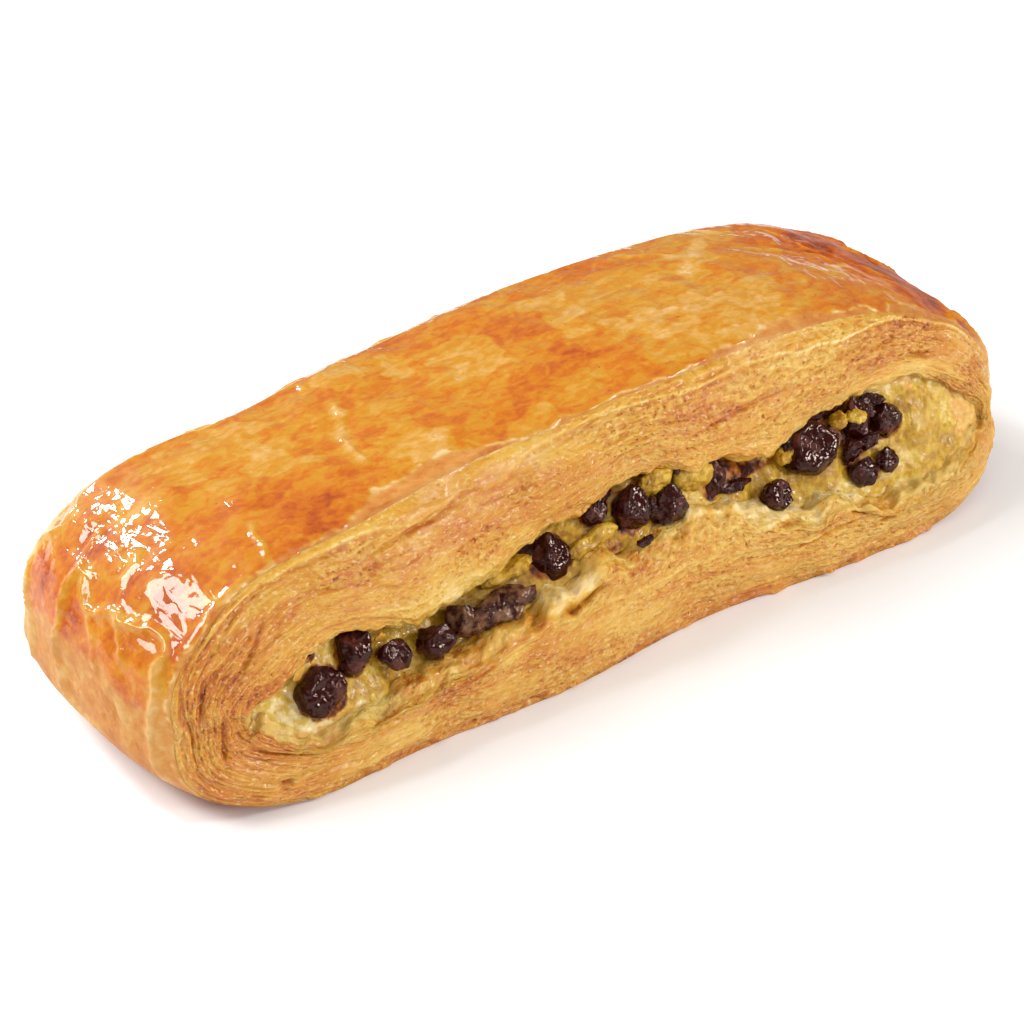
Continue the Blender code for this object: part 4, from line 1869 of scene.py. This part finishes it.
@dataclass
class Custard:
    """The layer of custard: sections across Y carried along X, lumpy where it shows at the faces.

    Lengths are in millimetres. Overlap is how far it goes into the dough, recess and hollow are how
    far it stays behind the lips, and halo is how strongly a chip stains it.
    """

    stations: int = 460
    face_steps: int = 46
    overlap: float = 0.9
    reach: float = 0.998
    end_rise: float = 1.4
    recess: float = 0.7
    hollow: float = 1.2
    swell: float = 0.55
    grain: float = 0.12
    tone: float = 0.54
    mottle: float = 0.26
    halo: float = 0.62
    seed: int = 301
    stains: tuple[Spot, ...] = several(
        Spot,
        (11, 22.6, 4.0, 1.1, 0.9), (4.6, 20.5, 1.0, 2.6, 0.9), (-2, 24.5, 3.5, 1.4, 0.8),
        (21, 19.0, 5.5, 3.0, 0.62), (-1, 20.5, 6, 3.0, 0.30), (-12, 19.5, 5, 1.6, 0.55),
        (34, 18.5, 4, 2.4, 0.45), (25.5, 17.6, 3, 1.0, 0.8), (-26, 18.2, 9, 0.9, 0.9),
        (-16, 19.2, 4, 1.0, 0.8), (43, 17.0, 4.5, 3.2, 0.85), (39.5, 22, 5, 1.8, 0.85),
        (33, 19.6, 2.2, 2.4, 0.8), (-44, 19.2, 3.5, 0.8, 0.5), (-1, 17.2, 3, 0.8, 0.5),
    )
    dark_spots: tuple[Spot, ...] = several(
        Spot,
        (-5, 17.5, 5, 2.5, 0.30), (-20, 18.0, 5, 1.5, 0.25), (-52, 12.5, 5, 1.5, -0.30),
        (-40, 11.5, 4, 1.5, 0.15), (52, 23, 6, 2.0, -0.55), (46, 12.5, 9, 1.4, -0.4), (58, 16, 6, 3, -0.06),
        (-56, 13, 6, 4, -0.48),
    )

    def build(self, chips: Sequence[Chip]) -> bpy.types.Object:
        """Make the custard: the sections, with noise that bulges them out where they show.

        Args:
            chips: every chip, whose surroundings are stained.

        Returns:
            The piece, which stands for the custard's node.
        """
        points, show = self.sections()
        x = points[..., 0]
        bulge = self.swell * (cloud(points, 3.2, self.seed) + 0.3)
        bulge += self.grain * cloud(points, 0.7, self.seed + 5, 2)
        ends = 0.5 * (bell(x, 53, 6) + step(-x, 46, 58)) + 0.8 * step(x, 57, 65)
        points[..., 1] += show * (bulge + ends)
        faces = grid_faces(points, closed=False)
        columns = points.shape[1]
        last = (self.stations - 1) * columns
        faces += [list(range(columns)), list(range(last, last + columns))]
        piece = make_piece("custard_layer", points, faces)
        add_values(piece, **self.values(points, chips))
        return piece

    def sections(self) -> tuple[Array, Array]:
        """Closed sections across Y: up the front from lip to lip and down the back, a little recessed.

        Returns:
            A grid with a section in each row, and how far bulges move each point along Y, which is 0
            at the lips in the middle of the slit.
        """
        reach = np.linspace(-self.reach, self.reach, self.stations)
        ones = np.ones_like(reach)
        columns = []
        weights = []
        for side in Side:
            floor = LOAF.lip(reach, -1, side)
            roof = LOAF.lip(reach, 1, side)
            floor[:, 2] += LIPS.lift(floor[:, 0], -ones, side) - self.overlap
            roof[:, 2] += LIPS.lift(roof[:, 0], ones, side) + self.overlap
            roof[:, 2] += self.end_rise * step(roof[:, 0], 56, 63)
            start, end = (floor, roof) if side is Side.FRONT else (roof, floor)
            for share in np.linspace(0, 1, self.face_steps):
                line = start + (end - start) * share
                line[:, 0] += self.overlap * reach
                middle = step(line[:, 0], -44, -37) * (1 - step(line[:, 0], 30, 40))
                outer = step(np.abs(line[:, 0] - 2), 46, 58)
                line[:, 1] -= side.value * (self.recess * (1 - outer) + self.hollow * middle)
                columns.append(line)
                rounded = np.sin(np.pi * share) ** 0.5
                weights.append(side.value * (rounded + (1 - rounded) * outer))
        return np.stack(columns, axis=1), np.stack(weights, axis=1)

    def values(self, points: Array, chips: Sequence[Chip]) -> dict[str, Array]:
        """The custard's look: noise and dark spots, stains round the chips, and dough towards the ends.

        Args:
            points: the custard's grid.
            chips: the chips that stain it.

        Returns:
            The tone, stain and dough values by name.
        """
        x, _, z = np.moveaxis(points, -1, 0)
        margin = np.tile(np.abs(np.linspace(-1, 1, self.face_steps)), 2)[None, :]
        tone = self.tone + self.mottle * cloud(points, 4, self.seed + 9) + spots(x, z, self.dark_spots)
        tone -= 0.24 * step(margin, 0.55, 0.95) * step(np.abs(x - 2), 30, 50)
        stain = spots(x, z, self.stains)
        for chip in chips:
            offset = (points - chip.middle) @ chip.axes / (chip.radii + 0.5)
            gap = np.linalg.norm(offset, axis=-1)
            stain = np.maximum(stain, self.halo * (1 - step(gap, 0.95, 1.2)))
        far = np.abs(x - 1)
        dough = step(far, 57, 65) + 0.8 * step(margin, 0.6, 1.0) * step(far, 34, 52)
        return {"tone": np.clip(tone, 0, 1), "stain": np.clip(stain, 0, 1), "dough": np.clip(dough, 0, 1)}


# --- Studio -------------------------------------------------------------------------------------


def direction(azimuth: float, elevation: float) -> Array:
    """The way from the pastry to a place.

    Args:
        azimuth: degrees round the pastry, 0 towards -Y.
        elevation: degrees above the floor.

    Returns:
        The way, of length 1.
    """
    a = np.radians(azimuth)
    e = np.radians(elevation)
    return np.array([np.sin(a) * np.cos(e), -np.cos(a) * np.cos(e), np.sin(e)])


def looking(azimuth: float, elevation: float) -> Vector:
    """The rotation of a camera or lamp that looks back along that way, with its top up."""
    return (np.radians(90 - elevation), 0.0, np.radians(azimuth))


@dataclass(frozen=True)
class Softbox:
    """A soft area light: where it stands round the pastry, its size in metres and its power in watts."""

    name: str
    azimuth: float
    elevation: float
    distance: float
    width: float
    height: float
    power: float

    def build(self) -> None:
        """Put the light in the scene, looking at the pastry."""
        data = bpy.data.lights.new(self.name, "AREA")
        data.shape = "RECTANGLE"
        data.size = self.width
        data.size_y = self.height
        data.energy = self.power
        lamp = add_object(self.name, data)
        lamp.location = direction(self.azimuth, self.elevation) * self.distance
        lamp.rotation_euler = looking(self.azimuth, self.elevation)


@dataclass
class Studio:
    """A plain pale floor, soft lights and the camera, in metres and degrees."""

    azimuth: float = -36.65
    elevation: float = 33.53
    distance: float = 0.4495
    lens: float = 113.8
    near_clip: float = 0.01
    target: Vector = (-0.0106, -0.0098, 0.020)
    floor_size: float = 6.0
    floor_colour: Colour = srgb(250, 250, 250)
    sky: float = 0.22
    lamps: tuple[Softbox, ...] = (
        Softbox("ceiling", -25, 50, 1.6, 1.6, 1.6, 9.2),
        Softbox("window", -116, 46, 1.0, 0.46, 0.32, 6.4),
        Softbox("back_low", -172, 20, 1.0, 0.14, 0.14, 3.0),
        Softbox("back_high", -158, 40, 1.0, 0.16, 0.16, 3.8),
        Softbox("side", 45, 33, 1.0, 0.16, 0.14, 3.3),
        Softbox("front_low", 30, 18, 1.0, 0.16, 0.14, 3.0),
    )

    def build(self) -> None:
        """Make the lights, the floor, the sky and the camera."""
        for lamp in self.lamps:
            lamp.build()
        self.build_floor()
        self.build_sky()
        self.build_camera()

    def build_floor(self) -> None:
        """Make the floor that the pastry lies on: a matt square."""
        half = self.floor_size / 2
        mesh = bpy.data.meshes.new("floor")
        corners = [(-half, -half, 0), (half, -half, 0), (half, half, 0), (-half, half, 0)]
        mesh.from_pydata(corners, [], [(0, 1, 2, 3)])
        shader = Shader("floor", 0.9)
        shader.set(base_color=(*self.floor_colour, 1), specular_ior_level=0.0)
        mesh.materials.append(shader.material)
        add_object("floor", mesh)

    def build_sky(self) -> None:
        """Make a white sky of even strength."""
        world = bpy.data.worlds.new("sky")
        world.use_nodes = True
        background = world.node_tree.nodes["Background"]
        background.inputs["Color"].default_value = (1, 1, 1, 1)
        background.inputs["Strength"].default_value = self.sky
        bpy.context.scene.world = world
        bpy.context.scene.view_settings.view_transform = "Standard"

    def build_camera(self) -> None:
        """Make the camera, which looks at the target from its azimuth, elevation and distance."""
        data = bpy.data.cameras.new("camera")
        data.lens = self.lens
        data.clip_start = self.near_clip
        camera = add_object("camera", data)
        camera.location = np.array(self.target) + direction(self.azimuth, self.elevation) * self.distance
        camera.rotation_euler = looking(self.azimuth, self.elevation)
        bpy.context.scene.camera = camera


# --- Fillings and assembly ----------------------------------------------------------------------


def dress(piece: bpy.types.Object, material: bpy.types.Material, node: str) -> None:
    """Give a piece its material, and hide the imported part of the node that it stands for.

    Args:
        piece: the piece.
        material: its material.
        node: the node it replaces.
    """
    piece.data.materials.append(material)
    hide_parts(node)


FILLING = Blob(3, 0.75, 0.95, 0.2, 0.07)
CRUMBLED = Blob(5, 0.5, 0.8, 0.3, 0.10)
SHARD = Blob(7, 0.4, 0.7, 0.12, 0.04, subdivisions=4)
CUSTARD_LUMPS = Lumps(
    "custard_lumps",
    FILLING,
    several(
        Lump,
        (7.0, 23.4, 2.9, 2.3, 10, 0.3, 1.1), (14.2, 21.4, 3.6, 2.5, -12, 0.4, 1.2),
        (-5.2, 18.8, 4.4, 1.5, 12, -0.7, 1.1), (40.2, 21.4, 1.4, 1.1, 30, 1.6),
        (43.4, 21.2, 1.8, 1.1, -10, 1.5), (-17.5, 17.8, 5.0, 1.0, 8, 0.1), (31.5, 18.4, 2.2, 1.0, 10, 0.5),
    ),
    several(
        Lump,
        (-38, 16.6, 3.0, 1.6, 8, 0.4), (4, 17.6, 2.8, 1.6, -10, 0.5), (40, 16.6, 3.0, 1.6, 10, 0.4),
    ),
    611,
    shade=0.58,
)
CHOCOLATE_SMEARS = Lumps(
    "chocolate_smears",
    CRUMBLED,
    several(
        Lump,
        (11.0, 23.6, 3.0, 0.7, 0, 0.3, 1.0), (4.8, 21.0, 1.0, 1.6, 0, 0.4, 1.0),
        (1.4, 18.0, 1.7, 0.7, 10, 1.2, 0.8), (20.8, 17.6, 3.8, 0.8, -8, 0.3, 1.0),
        (44.4, 17.0, 2.0, 2.0, 0, 0.5, 1.2), (41.4, 16.6, 2.6, 1.4, 30, 0.3, 1.1),
        (47.4, 21.8, 2.2, 1.1, -15, 0.7, 1.2), (39.6, 22.6, 3.6, 1.3, 10, 0.6, 1.2),
        (32.4, 19.4, 1.8, 1.8, 40, 0.9, 1.3), (45.2, 20.6, 2.0, 1.2, 60, 0.8, 1.2),
        (-1.6, 23.8, 1.6, 0.8, 30, 0.7, 1.0), (24.0, 20.2, 0.8, 0.5, 0, 0.5, 0.7),
        (-12.6, 19.4, 3.0, 0.45, 16, -0.1, 0.8),
    ),
    several(Lump, (-20, 17.4, 3.0, 0.9, 6, 0.3, 1.0), (22, 16.4, 2.6, 0.9, -6, 0.3, 1.0)),
    711,
)
VEILED_CHOCOLATE = Lumps(
    "veiled_chocolate",
    Blob(6, 0.5, 0.8, 0.16, 0.04),
    several(Lump, (-24.6, 15.4, 5.0, 2.0, 16, 0.5, 1.5), (-18.8, 15.8, 3.4, 1.6, 12, 0.6, 1.4)),
    several(Lump, (-30, 16.4, 3.0, 1.3, 0, 0.3, 1.0)),
    761,
    0.95,
)
PASTRY_FLAKES = Lumps(
    "pastry_flakes",
    SHARD,
    several(
        Lump,
        (-53.6, 17.2, 1.7, 0.9, 55, 1.6, 0.35), (-40.2, 17.6, 1.0, 0.7, 20, 1.4, 0.4),
        (-41.4, 19.4, 0.7, 0.5, 0, 1.6, 0.3),
    ),
    several(Lump, (-8, 18.4, 1.4, 0.7, 25, 1.2, 0.35)),
    811,
)
CHIP_SEED = 500
FACE_SEEDS = {Side.FRONT: 101, Side.BACK: 201}
VEILED_CHIPS = {"chip_06": 0.9, "chip_07": 1.0}


def main() -> None:
    """Build the pastry's pieces and the studio, in order, and write down how large they are."""
    logging.basicConfig(level=logging.INFO, format="%(message)s")
    names = sorted(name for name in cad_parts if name.startswith("chip_"))
    veils = [VEILED_CHIPS.get(name, 0.0) for name in names]
    chips = [Chip(name, CHIP_SEED + 7 * index, veils[index]) for index, name in enumerate(names)]
    chocolate = DarkChocolate().material()
    for chip in chips:
        dress(chip.build(), chocolate, chip.node)
    for lumps in (CHOCOLATE_SMEARS, VEILED_CHOCOLATE):
        dress(lumps.build(), chocolate, "custard")
    crumb = Crumb().material()
    dress(PASTRY_FLAKES.build(), crumb, "dough")
    dress(Crust().build(), GlazedCrust().material(), "dough")
    for side, seed in FACE_SEEDS.items():
        near = [chip for chip in chips if np.sign(chip.middle[1]) == side.value]
        dress(CutFace(side, seed).build(near), crumb, "dough")
    custard = BakedCustard().material()
    dress(Custard().build(chips), custard, "custard")
    dress(CUSTARD_LUMPS.build(), custard, "custard")
    Studio().build()


if __name__ == "__main__":
    main()
